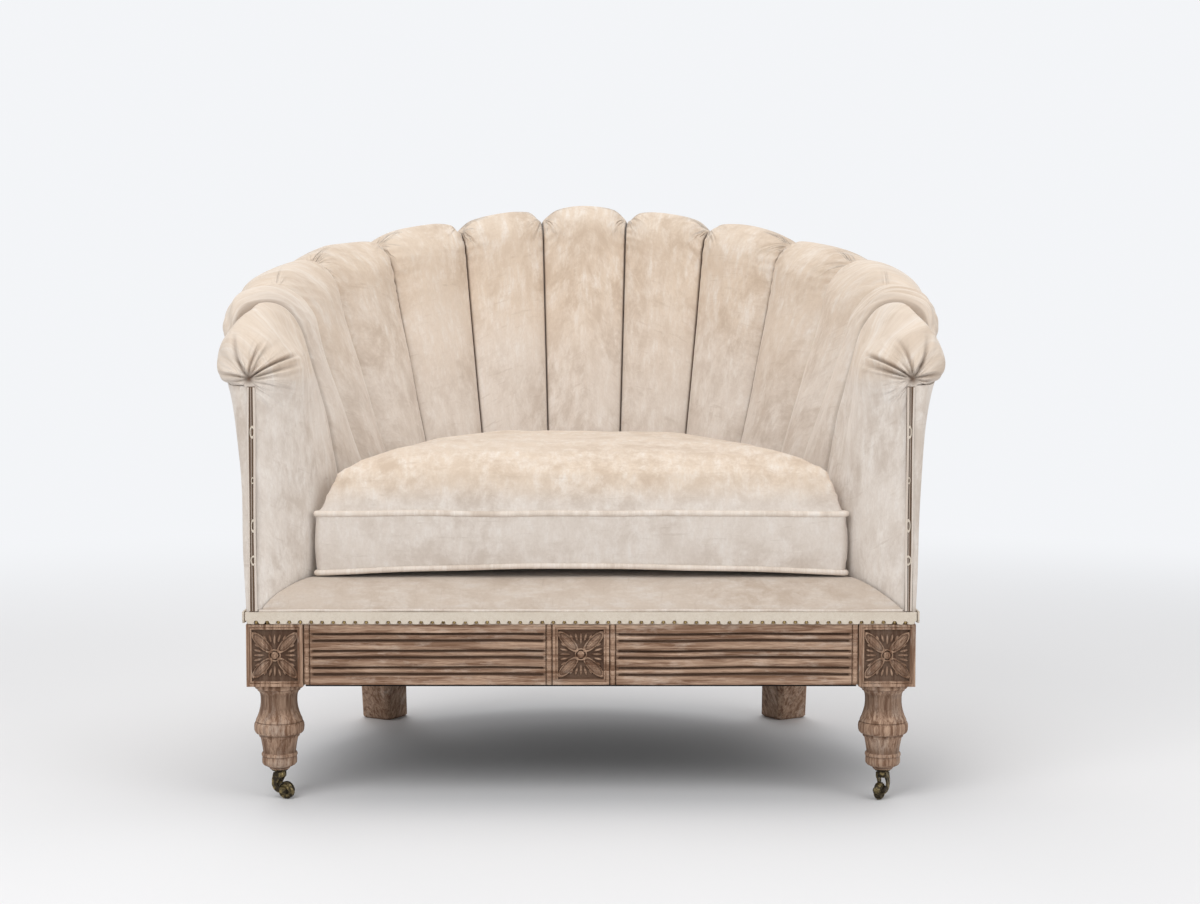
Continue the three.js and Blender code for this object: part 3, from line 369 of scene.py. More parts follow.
def mixShaders(tree, share, first, second, output):
    mixed = addNode(tree, "MixShader", {0: share, 1: first.outputs[0], 2: second.outputs[0]})
    tree.links.new(mixed.outputs[0], tree.nodes[output].inputs["Surface"])


def buildStudio(values):
    world = bpy.data.worlds.new("studioWorld")
    bpy.context.scene.world = world
    world.use_nodes = True
    tree = world.node_tree
    light = tree.nodes["Background"]
    put(tree, light.inputs["Color"], (1, 1, 1))
    put(tree, light.inputs["Strength"], values["worldStrength"])
    backdrop = addNode(tree, "Background", {"Color": values["backdropColor"]})
    mixShaders(tree, seenDirectly(tree), light, backdrop, "World Output")

    floor = freshPiece(bpy.ops.mesh.primitive_circle_add, "studioFloor", vertices=96,
                       radius=values["floorRadius"], fill_type="NGON")
    material, tree, surface = startMaterial("studioFloor", Base_Color=values["floorColor"], Roughness=0.9,
                                            Specular_IOR_Level=0.15)
    far = addNode(tree, "Emission", {"Color": values["backdropColor"]})
    length = addNode(tree, "VectorMath", {0: objectPlace(tree)}, operation="LENGTH")
    ends = {"Value": length.outputs["Value"], "From Min": values["fadeStart"], "From Max": values["fadeEnd"]}
    fade = addNode(tree, "MapRange", ends, interpolation_type="SMOOTHSTEP")
    mixShaders(tree, times(tree, fade.outputs[0], seenDirectly(tree)), surface, far, "Material Output")
    floor.data.materials.append(material)


bpy.context.scene.view_settings.view_transform = "Standard"
addCamera(cameraPlace)
for lampName, lampValues in lamps.items():
    addLamp(lampName, lampValues)
buildStudio(studio)
print("stage: camera, lamps and floor")


# Shader node groups that several finishes share.

def startGroup(name, **inputs):
    # inputs are vectors (None), colours or numbers
    group = bpy.data.node_groups.new(name, "ShaderNodeTree")
    for title, value in inputs.items():
        kind = "Vector" if value is None else "Color" if isinstance(value, tuple) else "Float"
        socket = group.interface.new_socket(name=title, in_out="INPUT", socket_type="NodeSocket" + kind)
        if value is not None:
            socket.default_value = (*value, 1) if kind == "Color" else value
    return group, group.nodes.new("NodeGroupInput").outputs


def endGroup(group, **outputs):
    for title in outputs:
        kind = "NodeSocketColor" if title == "Color" else "NodeSocketFloat"
        group.interface.new_socket(name=title, in_out="OUTPUT", socket_type=kind)
    made = group.nodes.new("NodeGroupOutput")
    for title, value in outputs.items():
        group.links.new(value, made.inputs[title])
    return group


def placeGroup(tree, group, **values):
    node = addNode(tree, "Group", node_tree=group)
    for title, value in values.items():
        put(tree, node.inputs[title], value)
    return node.outputs


def buildCrushedNap():
    # nap pressed into pale streaks and darker patches, running along the cloth's own direction
    group, given = startGroup("crushedNap", Nap=None, Shade=(0.5, 0.4, 0.3), Body=(0.7, 0.6, 0.5),
                              Pale=(0.9, 0.8, 0.7))
    nap, shade = given["Nap"], given["Shade"]
    streak = noiseOf(group, nap, (150, 24, 3), 6, 0.66, 0.15)
    patch = noiseOf(group, nap, (38, 18, 3), 6, 0.72, 0.25)
    broad = noiseOf(group, nap, (8, 5, 3), 2, 0.5, 0.3)
    crinkle = noiseOf(group, nap, (26, 120, 3), 4, 0.65, 0.3)
    thread = noiseOf(group, nap, (420, 160, 3), 2, 0.6)
    pressed = times(group, ranged(group, streak, 0.42, 0.66), ranged(group, patch, 0.42, 0.64, 0.0, 0.62))
    shaded = times(group, ranged(group, patch, 0.58, 0.36), ranged(group, broad, 0.30, 0.58))
    color = colorMix(group, times(group, shaded, 0.66), given["Body"], shade)
    color = colorMix(group, pressed, color, given["Pale"])
    color = layered(group, color, (thread, 0.35, 0.65, 0.16, shade), (crinkle, 0.60, 0.72, 0.38, shade))
    height = mathOf(group, "ADD", times(group, crinkle, 0.55), times(group, streak, 0.65))
    return endGroup(group, Color=color, Height=height, Pressed=pressed)


def buildFoldFan():
    # crisp folds fanning from a gather: Fan is the place beside it, with the folds' strength last; Groove marks the
    # fold grooves for painted shade
    group, given = startGroup("foldFan", Fan=None, Nap=None)
    across, along, strength = addNode(group, "SeparateXYZ", {0: given["Fan"]}).outputs
    cloth = addNode(group, "SeparateXYZ", {0: given["Nap"]}).outputs
    squares = [times(group, part, part) for part in (across, along)]
    far = mathOf(group, "SQRT", mathOf(group, "ADD", *squares))
    turn = times(group, mathOf(group, "ARCTAN2", along, across), 2.4)
    spot = addNode(group, "CombineXYZ", {0: turn, 1: times(group, far, 14), 2: cloth[2]}).outputs[0]
    folds = noiseOf(group, spot, 1, 2, 0.5, 0.3)
    return endGroup(group, Height=times(group, ranged(group, folds, 0.36, 0.62), strength),
                    Groove=times(group, ranged(group, folds, 0.46, 0.34), strength))


def buildWoodGrain():
    # grain along the vector's X, dark pores and pale dry rubs
    group, given = startGroup("woodGrain", Vector=None, Light=(0.4, 0.3, 0.2), Dark=(0.2, 0.1, 0.1),
                              Limed=(0.6, 0.5, 0.4))
    vector, dark = given["Vector"], given["Dark"]
    bands = noiseOf(group, vector, (9, 170, 170), 6, 0.66, 0.6)
    pores = noiseOf(group, vector, (38, 900, 900), 3, 0.6)
    blotch = noiseOf(group, vector, (14, 22, 22), 4, 0.55)
    rubbed = noiseOf(group, vector, (22, 60, 60), 5, 0.7)
    color = layered(group, dark, (bands, 0.40, 0.60, 1.0, given["Light"]), (blotch, 0.4, 0.7, 0.3, dark),
                    (rubbed, 0.52, 0.74, 0.55, given["Limed"]), (pores, 0.46, 0.34, 0.75, dark))
    height = mathOf(group, "ADD", times(group, pores, 0.6), times(group, bands, 0.4))
    return endGroup(group, Color=color, Height=height, Roughness=ranged(group, blotch, 0.3, 0.7, 0.62, 0.85))


def buildWeave():
    # plain weave: two crossed sets of threads
    group, given = startGroup("weave", Vector=None, Threads=800.0, Thread=(0.8, 0.7, 0.6), Gap=(0.4, 0.3, 0.2))
    scaled = addNode(group, "VectorMath", {0: given["Vector"], "Scale": given["Threads"]}, operation="SCALE")
    split = addNode(group, "SeparateXYZ", {0: scaled.outputs[0]})
    waves = [mathOf(group, "SINE", output) for output in split.outputs]
    height = ranged(group, times(group, mathOf(group, "ADD", waves[0], waves[1]), waves[2]), -1.2, 1.2)
    fray = noiseOf(group, given["Vector"], 260, 3, 0.6)
    wornAndShaded = noiseOf(group, given["Vector"], 28, 3, 0.6)
    color = layered(group, given["Gap"], (height, 0.2, 0.7, 1.0, given["Thread"]),
                    (fray, 0.4, 0.7, 0.35, given["Gap"]), (wornAndShaded, 0.45, 0.75, 0.3, given["Gap"]))
    return endGroup(group, Color=color, Height=mathOf(group, "ADD", height, fray))


def buildTarnish():
    group, given = startGroup("tarnish", Vector=None, Metal=(0.4, 0.3, 0.1), Tarnish=(0.1, 0.1, 0.1), Amount=0.5)
    cloud = noiseOf(group, given["Vector"], 130, 5, 0.65)
    speck = noiseOf(group, given["Vector"], 900, 3, 0.6)
    spread = mathOf(group, "ADD", cloud, mathOf(group, "SUBTRACT", given["Amount"], 0.5))
    mask = ranged(group, spread, 0.38, 0.62)
    color = colorMix(group, mask, given["Metal"], given["Tarnish"])
    color = layered(group, color, (speck, 0.55, 0.75, 0.5, given["Tarnish"]))
    return endGroup(group, Color=color, Roughness=ranged(group, mask, 0, 1, 0.28, 0.62), Height=speck)


crushedNap = buildCrushedNap()
foldFan = buildFoldFan()
woodGrain = buildWoodGrain()
weave = buildWeave()
tarnish = buildTarnish()


# Finishes.

# painted light: the warm tones paint the tan the crowns show under the lamps, the sheen tones the paler sheen on
# the lower cloth, both on one velvet
velvetLook = {
    "warmShade": (0.520, 0.400, 0.300),
    "warmBody": (0.725, 0.605, 0.490),
    "sheenShade": (0.520, 0.440, 0.375),
    "sheenBody": (0.765, 0.700, 0.640),
    "pale": (0.860, 0.825, 0.785),
    # groove: colour of the painted shade in the fold grooves
    "groove": (0.340, 0.250, 0.185),
    # seam: colour of the painted shade at seams, in pleat grooves and over parts in shadow
    "seam": (0.125, 0.075, 0.048),
    "grooveShadeShare": 0.2,
    "foldDepth": 0.0065,
    "napDepth": 0.0016,
    "napStrength": 0.45,
}


def makeVelvet(name, look):
    material, tree, surface = startMaterial(name, Roughness=0.82, Sheen_Weight=0.4, Sheen_Roughness=0.35,
                                            Sheen_Tint=(1, 0.97, 0.93, 1), Specular_IOR_Level=0.25)
    # painted light tone: warm tan on the crowns, paler sheen elsewhere
    cloth, napLightTone = attributeOf(tree, "nap", "Vector"), attributeOf(tree, "napLightTone")
    nap = placeGroup(tree, crushedNap, Nap=cloth, Pale=look["pale"],
                     Shade=colorMix(tree, napLightTone, look["sheenShade"], look["warmShade"]),
                     Body=colorMix(tree, napLightTone, look["sheenBody"], look["warmBody"]))
    folds = placeGroup(tree, foldFan, Nap=cloth, Fan=attributeOf(tree, "fan", "Vector"))
    # painted shade in the fold grooves
    groove = times(tree, folds["Groove"], look["grooveShadeShare"])
    color = colorMix(tree, groove, nap["Color"], look["groove"])
    # painted shade at seams, in pleat grooves and over shaded parts
    color = colorMix(tree, attributeOf(tree, "seamShade"), color, look["seam"])
    tree.links.new(color, surface.inputs["Base Color"])
    tree.links.new(ranged(tree, nap["Pressed"], 0, 1, 0.86, 0.6), surface.inputs["Roughness"])
    folded = bumped(tree, surface, folds["Height"], 1.0, look["foldDepth"])
    bumped(tree, surface, nap["Height"], look["napStrength"], look["napDepth"], Normal=folded)
    return material


woodLook = {
    "light": (0.495, 0.335, 0.235),
    "dark": (0.175, 0.093, 0.054),
    "limed": (0.690, 0.565, 0.465),
    # cavity: colour of the painted shade in the carving's depths
    "cavityShade": (0.070, 0.036, 0.021),
    "cavityShadeShare": 0.85,
}

plainWoodLook = {
    "light": (0.60, 0.43, 0.26),
    "dark": (0.42, 0.27, 0.14),
    "limed": (0.68, 0.52, 0.34),
    "cavityShade": (0.20, 0.12, 0.06),
    "cavityShadeShare": 0.5,
}


def makeWood(name, turn, look):
    # turn brings the piece's grain onto the pattern's X
    material, tree, surface = startMaterial(name, Roughness=0.75, Specular_IOR_Level=0.3)
    vector = stretched(tree, objectPlace(tree), (1, 1, 1), turn)
    grain = placeGroup(tree, woodGrain, Vector=vector, Light=look["light"], Dark=look["dark"], Limed=look["limed"])
    # painted shade in the carving's depths and the turning's hollows
    wornAndShaded = times(tree, attributeOf(tree, "cavityShade"), look["cavityShadeShare"])
    tree.links.new(colorMix(tree, wornAndShaded, grain["Color"], look["cavityShade"]), surface.inputs["Base Color"])
    tree.links.new(grain["Roughness"], surface.inputs["Roughness"])
    bumped(tree, surface, grain["Height"], 0.7, 0.0016)
    return material


def makeWoven(name, threads, thread, gap, strength, depth=0.0006):
    material, tree, surface = startMaterial(name, Roughness=0.9, Specular_IOR_Level=0.15)
    cloth = placeGroup(tree, weave, Vector=objectPlace(tree), Threads=threads, Thread=thread, Gap=gap)
    tree.links.new(cloth["Color"], surface.inputs["Base Color"])
    bumped(tree, surface, cloth["Height"], strength, depth)
    return material


def makeMetal(name, metal, tint, amount, depth=0.0003):
    material, tree, surface = startMaterial(name, Metallic=1.0, Roughness=0.4)
    skin = placeGroup(tree, tarnish, Vector=objectPlace(tree), Metal=metal, Tarnish=tint, Amount=amount)
    tree.links.new(skin["Color"], surface.inputs["Base Color"])
    tree.links.new(skin["Roughness"], surface.inputs["Roughness"])
    bumped(tree, surface, skin["Height"], 0.25, depth)
    return material


upright, lengthways = (0, quarterTurn, 0), (0, 0, quarterTurn)
finishes = {
    "velvet": makeVelvet("velvet", velvetLook),
    "woodAcross": makeWood("shadedWeatheredWoodAcross", origin, woodLook),
    "woodUpright": makeWood("shadedWeatheredWoodUpright", upright, woodLook),
    "woodDeep": makeWood("shadedWeatheredWoodDeep", lengthways, woodLook),
    "frameWoodAcross": makeWood("frameWoodAcross", origin, plainWoodLook),
    "frameWoodUpright": makeWood("frameWoodUpright", upright, plainWoodLook),
    "tape": makeWoven("linenTape", 4200, (0.78, 0.72, 0.63), (0.56, 0.47, 0.37), 0.5),
    # dark tape paints the shade inside the facing slot
    "slotShadeTape": makeWoven("slotShadeTape", 4200, (0.21, 0.14, 0.095), (0.09, 0.055, 0.035), 0.5),
    "jute": makeWoven("juteWebbing", 1900, (0.48, 0.33, 0.16), (0.22, 0.14, 0.06), 0.8),
    "dustCloth": makeWoven("dustCloth", 5200, (0.030, 0.027, 0.026), (0.012, 0.011, 0.011), 0.4),
    "brass": makeMetal("agedBrass", (0.36, 0.28, 0.13), (0.050, 0.040, 0.028), 0.58),
    "nailBrass": makeMetal("nailBrass", (0.42, 0.31, 0.14), (0.10, 0.065, 0.035), 0.42),
    "steel": makeMetal("springSteel", (0.50, 0.50, 0.50), (0.22, 0.20, 0.18), 0.4),
}

keptFinishes = {
    "woodAcross": ["back_rail"],
    "woodDeep": ["right_side_rail", "left_side_rail"],
    "frameWoodAcross": ["right_corner_block", "left_corner_block", "right_arm_rail", "left_arm_rail", "crest_rail"],
    "frameWoodUpright": ["right_arm_post", "left_arm_post", "right_back_stile", "left_back_stile",
                         "back_centre_upright"],
    "brass": [f"{side}_caster_{part}" for side in ("right", "left") for part in ("plate", "horn", "axle", "wheel")],
    "steel": [f"coil_spring_{count}" for count in range(1, 10)],
}
for finish, names in keptFinishes.items():
    for nodeName in names:
        nodes[nodeName].data.materials.clear()
        nodes[nodeName].data.materials.append(finishes[finish])
print("finishes: velvet, wood, woven cloth and metal")


# Soft copies of the solids.

def softCopy(node, name):
    piece = addObject(name, nodes[node].data.copy())
    piece.data.name = name
    piece.data.materials.clear()
    activate(piece)
    if piece.data.has_custom_normals:
        bpy.ops.mesh.customdata_custom_splitnormals_clear()
    with editing():
        bpy.ops.mesh.remove_doubles(threshold=weldReach)
    return piece


def outlineOf(node):
    piece = softCopy(node, "outlineSource")
    points = pointsOf(piece)
    bpy.data.objects.remove(piece)
    return points


def cleanedCopy(node, name, angle):
    # a copy with its flat faces whole again, ready for bevels
    piece = softCopy(node, name)
    with editing():
        bpy.ops.mesh.dissolve_limited(angle_limit=math.radians(angle))
    return piece


def flatEnds(piece):
    # the two largest upright flats, which are the sewn ends of a pad
    groups = []
    for face in piece.data.polygons:
        normal = face.normal
        if abs(normal.z) > 0.003:
            continue
        offset = normal.dot(face.center)
        for group in groups:
            if group["plane"].dot(normal) > 0.99998 and abs(group["offset"] - offset) < 0.0002:
                group["area"] += face.area
                group["faces"].append(face.index)
                break
        else:
            groups.append({"plane": normal.copy(), "offset": offset, "area": face.area, "faces": [face.index]})
    groups.sort(key=lambda group: -group["area"])
    return [{**group, "normal": np.array(group["plane"])} for group in groups[:2]]


def creaseEdges(piece, sharp):
    # edges whose faces pass the test stay sharp under subdivision
    creases = piece.data.attributes.new("crease_edge", "FLOAT", "EDGE")
    sides = {}
    for face in piece.data.polygons:
        for key in face.edge_keys:
            sides.setdefault(key, []).append(face)
    for edge in piece.data.edges:
        creases.data[edge.index].value = float(sharp(sides[edge.key]))


def sideQuads(piece, kept=frozenset()):
    # pairs the loose triangles into quads, except those of the kept faces
    activate(piece)
    for face in piece.data.polygons:
        face.select = face.index not in kept
    with editing(None):
        bpy.ops.mesh.select_mode(type="FACE")
        bpy.ops.mesh.tris_convert_to_quads(face_threshold=math.pi, shape_threshold=math.pi)


def refined(piece, levels):
    applyModifier(piece, "SUBSURF", levels=levels, render_levels=levels)
    return piece, pointsOf(piece), normalsOf(piece)


def sewnCopy(node, name, levels):
    # a finer copy of a pad whose two sewn ends stay flat and sharp
    piece = softCopy(node, name)
    sideQuads(piece, {index for end in flatEnds(piece) for index in end["faces"]})
    ends = flatEnds(piece)
    inside = {index for end in ends for index in end["faces"]}
    creaseEdges(piece, lambda faces: 0 < sum(face.index in inside for face in faces) < len(faces))
    return *refined(piece, levels), ends


def corneredCopy(node, name, levels, corner):
    # a finer copy whose real corners stay sharp
    piece = softCopy(node, name)
    sideQuads(piece)
    limit = math.radians(corner)
    creaseEdges(piece, lambda faces: len(faces) == 2 and faces[0].normal.angle(faces[1].normal) > limit)
    return refined(piece, levels)


def reachOf(points, end):
    return np.abs(points @ end["normal"] - end["offset"])


padLook = {
    "levels": 4,
    "shoulder": 0.004 / 0.19,  # its rise over the peak of its curve
    "puckerDepth": 0.0013,
    "puckersPerMetre": 46,
    "puckerReach": 0.018,
    "unevenness": 0.0016,
    "seamWidth": 0.0012,
    "fanReach": (0.012, 0.062),
    "fanShares": {"3": 0.7, "4": 0.3, "5": 0.0},
    "crest": 0.0052,
    "crestReach": 0.09,
    # heights over which the painted pale sheen gives way to the painted warm crown tone
    "paleHeights": (0.52, 0.78),
}

# the arm's roll runs on into the last channel: the valley at that seam is filled on both pads
sharedSeam = {"fill": 0.020, "reach": 0.030, "heights": (0.42, 0.56), "shade": 0.3,
              "folds": 0.0009, "foldPitch": 0.019}


def seamFill(points, normals, reach, side, values):
    high = smoothStep(*values["heights"], points[:, 2])
    seen = smoothStep(0.2, 0.95, normals[:, 2] - side * normals[:, 0])
    return values["fill"] * bellAt(reach, values["reach"]) * high * seen


def contourFolds(points, reach, seed, values):
    # soft creases that follow the roll on both sides of the shared seam
    wave = np.sin(2 * math.pi * reach / values["foldPitch"] + 1.3 * rippleAt(points, 3, seed))
    near = smoothStep(0, 0.008, reach) * np.exp(-reach / 0.05)
    return values["folds"] * wave * near * smoothStep(0.38, 0.46, points[:, 2])


def alongSeam(normals, seamNormal):
    # surface directions that stay in the sewn plane
    inPlane = normals - np.sum(normals * seamNormal, axis=1)[:, None] * seamNormal
    return inPlane / np.maximum(np.linalg.norm(inPlane, axis=1), 0.2)[:, None]


def fanBeside(points, share, reach, values):
    # place of each point beside the top of its nearer seam: across, then down the seat side of the pad
    towardsSeat = -points[:, :2].mean(0) + (0, -0.06)
    towardsSeat /= np.linalg.norm(towardsSeat)
    fan = np.zeros((len(points), 3))
    for nearer in (share <= 0.5, share > 0.5):
        seam = points[nearer & (reach < 0.0008)]
        top = seam[np.argmax(seam[:, 2])]
        drop = top[2] - points[nearer][:, 2]
        inner = (points[nearer][:, :2] - top[:2]) @ towardsSeat
        along = np.hypot(drop, inner) * np.tanh(inner / 0.004)
        away = np.hypot(reach[nearer], along)
        strength = (1 - smoothStep(*values["fanReach"], away)) * smoothStep(0.003, 0.015, away)
        fan[nearer] = columns(reach[nearer], along, strength)
    return fan


def makeChannel(node, name, seed, values):
    piece, points, normals, ends = sewnCopy(node, name, values["levels"])
    reaches = [reachOf(points, end) for end in ends]
    share = (reaches[0] / np.maximum(reaches[0] + reaches[1], 1e-6))[:, None]
    seamNormal = unitOf(ends[1]["normal"] * share - ends[0]["normal"] * (1 - share))
    share, reach = share[:, 0], np.minimum(*reaches)
    # fuller shoulders beside the seams
    step = np.abs(2 * share - 1)
    lift = values["shoulder"] * ((1 - step ** 2.6) ** 0.6 - (1 - step ** 2.2))
    # puckers that run in from the seams and die out on the channel
    along = points[:, 2] + 0.6 * (points[:, 1] + np.abs(points[:, 0]))
    belowTop = points[:, 2] - points[:, 2].max()
    wave = np.sin(along * values["puckersPerMetre"] * 2 * math.pi + 3 * rippleAt(points, 9, seed))
    nearSeam = np.exp(-reach / values["puckerReach"]) * smoothStep(0, 0.003, reach)
    lift += values["puckerDepth"] * wave * nearSeam * (0.25 + smoothStep(-0.12, -0.02, belowTop))
    lift += values["unevenness"] * rippleAt(points, 7, seed + 1) * smoothStep(0, 0.02, reach)
    lift += values["crest"] * smoothStep(-values["crestReach"], -0.01, belowTop) * smoothStep(0, 0.025, reach)
    seamShade = bellAt(reach, values["seamWidth"])
    fan = fanBeside(points, share, reach, values)
    fan[:, 2] *= values["fanShares"].get(name[-1], 1)
    if name.endswith("5"):
        lastReach = reachOf(points, min(ends, key=lambda end: end["normal"][1]))
        lift += seamFill(points, normals, lastReach, math.copysign(1, points[:, 0].mean()), sharedSeam)
        lift += contourFolds(points, lastReach, seed, sharedSeam)
        seamShade *= np.where(lastReach < 0.02, sharedSeam["shade"], 1)
    movePoints(piece, points + alongSeam(normals, seamNormal) * lift[:, None])
    # painted light: warm tan tone on the upper channel, paler sheen lower down
    crown = smoothStep(*values["paleHeights"], points[:, 2] + 0.02 * rippleAt(points, 5, seed + 2))
    smoothed(piece)
    upholster(piece, (share * 0.12, along, seed * 1.7), 0.12 + 0.88 * crown, node, seam=seamShade, fan=fan)


makeChannel("back_channel_centre", "backChannelCentre", 1, padLook)
for side in ("right", "left"):
    for count in range(1, 6):
        makeChannel(f"{side}_channel_{count}", f"{side}Channel{count}", 2 * count + (side == "left"), padLook)
print("channels: eleven sewn pads")


panelLook = {
    "levels": 4,
    "gather": (0.4655, 0.6035),
    "unevenness": 0.0014,
    "shoulder": 0.010,
    "shoulderTurn": (-20, 25),  # its middle and spread in degrees from straight up towards the seat
    "knotDepth": 0.006,
    "knotReach": 0.007,
    "fanReach": (0.030, 0.115),
    "grooveShade": 0.6,
}

# pleats of the gathered roll: angle from straight up in degrees towards the seat, how far it turns
# by the rim, reach, depth and width
pleats = [
    (-104, 6, 0.034, 0.0030, 0.0024),
    (-72, -10, 0.042, 0.0040, 0.0026),
    (-38, 16, 0.054, 0.0048, 0.0028),
    (-14, -20, 0.032, 0.0032, 0.0022),
    (2, 16, 0.052, 0.0046, 0.0028),
    (26, 8, 0.030, 0.0032, 0.0024),
    (52, 12, 0.084, 0.0078, 0.0030),
    (72, 2, 0.066, 0.0044, 0.0026),
    (92, -8, 0.038, 0.0026, 0.0022),
]


def pleatLift(turn, distance):
    # height of the pleats and how deep in a groove each point lies
    lift, groove = np.zeros(len(turn)), np.zeros(len(turn))
    for angle, bend, reach, depth, width in pleats:
        centre = math.radians(angle) + math.radians(bend) * np.clip(distance / reach, 0, 1.3)
        offset = (turn - centre) * np.maximum(distance, 0.004)
        spread = width * (0.4 + 0.75 * distance / reach)
        fade = smoothStep(0.0, 0.005, distance) * (1 - smoothStep(0.5 * reach, 1.25 * reach, distance))
        cut = bellAt(offset, spread) * fade
        crest = bellAt(offset - 1.8 * spread, 1.2 * spread) * fade
        lift += depth * (0.7 * crest - cut)
        groove += cut * depth / 0.0062
    return lift, np.clip(groove, 0, 1)


def makeArmPanel(node, name, side, seed, values):
    piece, points, normals, ends = sewnCopy(node, name, values["levels"])
    across = side * points[:, 0]
    right, up = values["gather"][0] - across, points[:, 2] - values["gather"][1]
    distance, turn = np.hypot(right, up), np.arctan2(right, up)
    depth = points[:, 1] - front
    facing = 1 - smoothStep(0.03, 0.085, depth)
    seam = max(ends, key=lambda end: abs(end["normal"][0]) + end["normal"][1])
    reach = reachOf(points, seam)
    lift, groove = pleatLift(turn, distance)
    knot = bellAt(distance, values["knotReach"])
    lift = (lift - values["knotDepth"] * knot) * facing
    uneven = rippleAt(points, 7, seed) + 0.5 * rippleAt(points, 17, seed + 4)
    lift += values["unevenness"] * uneven * smoothStep(0.0, 0.02, distance) * smoothStep(0.0, 0.02, reach)
    lift += contourFolds(points, reach, seed, sharedSeam) * (1 - facing)
    middle, spread = (math.radians(value) for value in values["shoulderTurn"])
    outer = bellAt(turn - middle, spread) * smoothStep(0.015, 0.055, distance)
    lift += values["shoulder"] * outer * smoothStep(0.0, 0.035, reach)
    fill = seamFill(points, normals, reach, side, sharedSeam)
    inPlane = alongSeam(normals, np.broadcast_to(seam["normal"], points.shape))
    movePoints(piece, points + normals * lift[:, None] + inPlane * fill[:, None])
    strength = (1 - smoothStep(*values["fanReach"], distance)) * facing * smoothStep(0.004, 0.016, distance)
    shade = bellAt(reach, padLook["seamWidth"]) * sharedSeam["shade"]
    shade = np.maximum(shade, values["grooveShade"] * np.maximum(groove, 1.6 * knot) * facing)
    smoothed(piece)
    # painted light: warm tan tone on the roll's top, paler sheen on the front
    upholster(piece, (0.5 * right + depth * 0.8, points[:, 2] - 0.6 * across, seed * 1.7),
              0.08 + 0.75 * smoothStep(0.585, 0.625, points[:, 2]), node, seam=shade,
              fan=columns(right, up, 0.55 * strength))


makeArmPanel("right_arm_front_panel", "rightArmPanel", 1, 31, panelLook)
makeArmPanel("left_arm_front_panel", "leftArmPanel", -1, 32, panelLook)
print("arm panels: two gathered rolls")


coverLook = {"levels": 2, "unevenness": 0.0012, "tuck": 0.026, "tuckReach": 0.05, "tuckFade": (0.012, 0.075)}


def aroundTub(points):
    return np.arctan2(points[:, 0], points[:, 1] + 0.18)


def topOver(points):
    # height of the cover's top edge over each point, all the way round the tub
    bins = np.round(aroundTub(points) / 0.03).astype(int)
    bins -= bins.min()
    tops = np.full(bins.max() + 1, -1.0)
    np.maximum.at(tops, bins, points[:, 2])
    filled = np.nonzero(tops > 0)[0]
    return np.interp(bins, filled, tops[filled])


def makeCover(node, name, seed, values):
    piece, points, normals = corneredCopy(node, name, values["levels"], 50)
    low, high = points[:, 2].min(), points[:, 2].max()
    inside = smoothStep(0.0, 0.02, points[:, 2] - low) * smoothStep(0.0, 0.02, high - points[:, 2])
    lift = values["unevenness"] * rippleAt(points, 6, seed) * inside
    points = points + normals * lift[:, None]
    tucked = values["tuck"] * smoothStep(-values["tuckReach"], -0.004, points[:, 2] - topOver(points))
    points[:, 2] += tucked * smoothStep(*values["tuckFade"], points[:, 1] - front)
    movePoints(piece, points)
    smoothed(piece, 40)
    upholster(piece, (aroundTub(points) * 0.5, points[:, 2], seed * 1.7), 0.2, node)


makeCover("right_outside_arm_cover", "rightOutsideCover", 41, coverLook)
makeCover("left_outside_arm_cover", "leftOutsideCover", 42, coverLook)
makeCover("outside_back_cover", "outsideBackCover", 43, coverLook)
print("covers: outside arms and back")


deckLook = {"levels": 3, "unevenness": 0.0014, "shade": 0.29, "lip": (0.03, 0.10), "raised": (0.282, 0.300),
            "weltRadius": 0.0021, "weltHeight": 0.2766, "weltPoints": 160}


def makeDeck(values):
    piece, points, normals = corneredCopy("seat_deck", "seatDeckCloth", values["levels"], 60)
    lip = 1 - smoothStep(*values["lip"], points[:, 1] - front)
    raised = smoothStep(*values["raised"], points[:, 2])
    lift = values["unevenness"] * rippleAt(points, 5, 51) * raised * lip
    movePoints(piece, points + normals * lift[:, None])
    points = pointsOf(piece)
    nap = ((points[:, 2] + points[:, 1]) * 0.6, points[:, 0] * 1.2, 87.0)
    smoothed(piece, 50)
    # seam here paints shade over the whole deck
    upholster(piece, nap, 0.6, "seat_deck", seam=values["shade"])
    low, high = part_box("seat_deck")
    across = np.linspace(low.x + 0.004, high.x - 0.004, values["weltPoints"])
    path = columns(across, front + 0.0006, values["weltHeight"])
    path[:, 2] += 0.0004 * rippleAt(path, 9, 52)
    welt = tubeAlong("deckWelt", path, values["weltRadius"], False)
    upholster(welt, pointsOf(welt).T, 0.3, seam=0.12)


makeDeck(deckLook)
print("deck: sprung seat cloth with its welt")


cushionLook = {
    "voxel": 0.008,
    "slimmer": 0.994,
    "pressure": 3.0,
    "shrink": -0.03,
    "tension": 18,
    "bending": 1.2,
    "frames": 16,
    "cap": 0.0035,
    "puckerDepth": 0.0009,
    "puckersPerMetre": 34,
    "topUneven": 0.0022,
    "uneven": 0.0008,
    "bow": 0.011,
    "bowHalfWidth": 0.40,
    "bowDepths": (0.02, 0.13),
    "bowHeights": (0.335, 0.40),
    "pipingRadius": 0.0043,
    "seamAbove": 0.005,
    "topSeam": 0.408,
    "pipingInset": 0.0034,
    "sideInset": 0.0030,
    "sideBelly": 0.0028,
    "boxingShade": 0.13,
}


def ringAt(node, height, tolerance=0.0006):
    # plan points of a node's outline at one height, in order round its middle
    points = outlineOf(node)
    ring = points[np.abs(points[:, 2] - height) < tolerance][:, :2]
    middle = (ring.min(0) + ring.max(0)) / 2
    order = np.argsort(np.arctan2(ring[:, 1] - middle[1], ring[:, 0] - middle[0]))
    return ring[order]


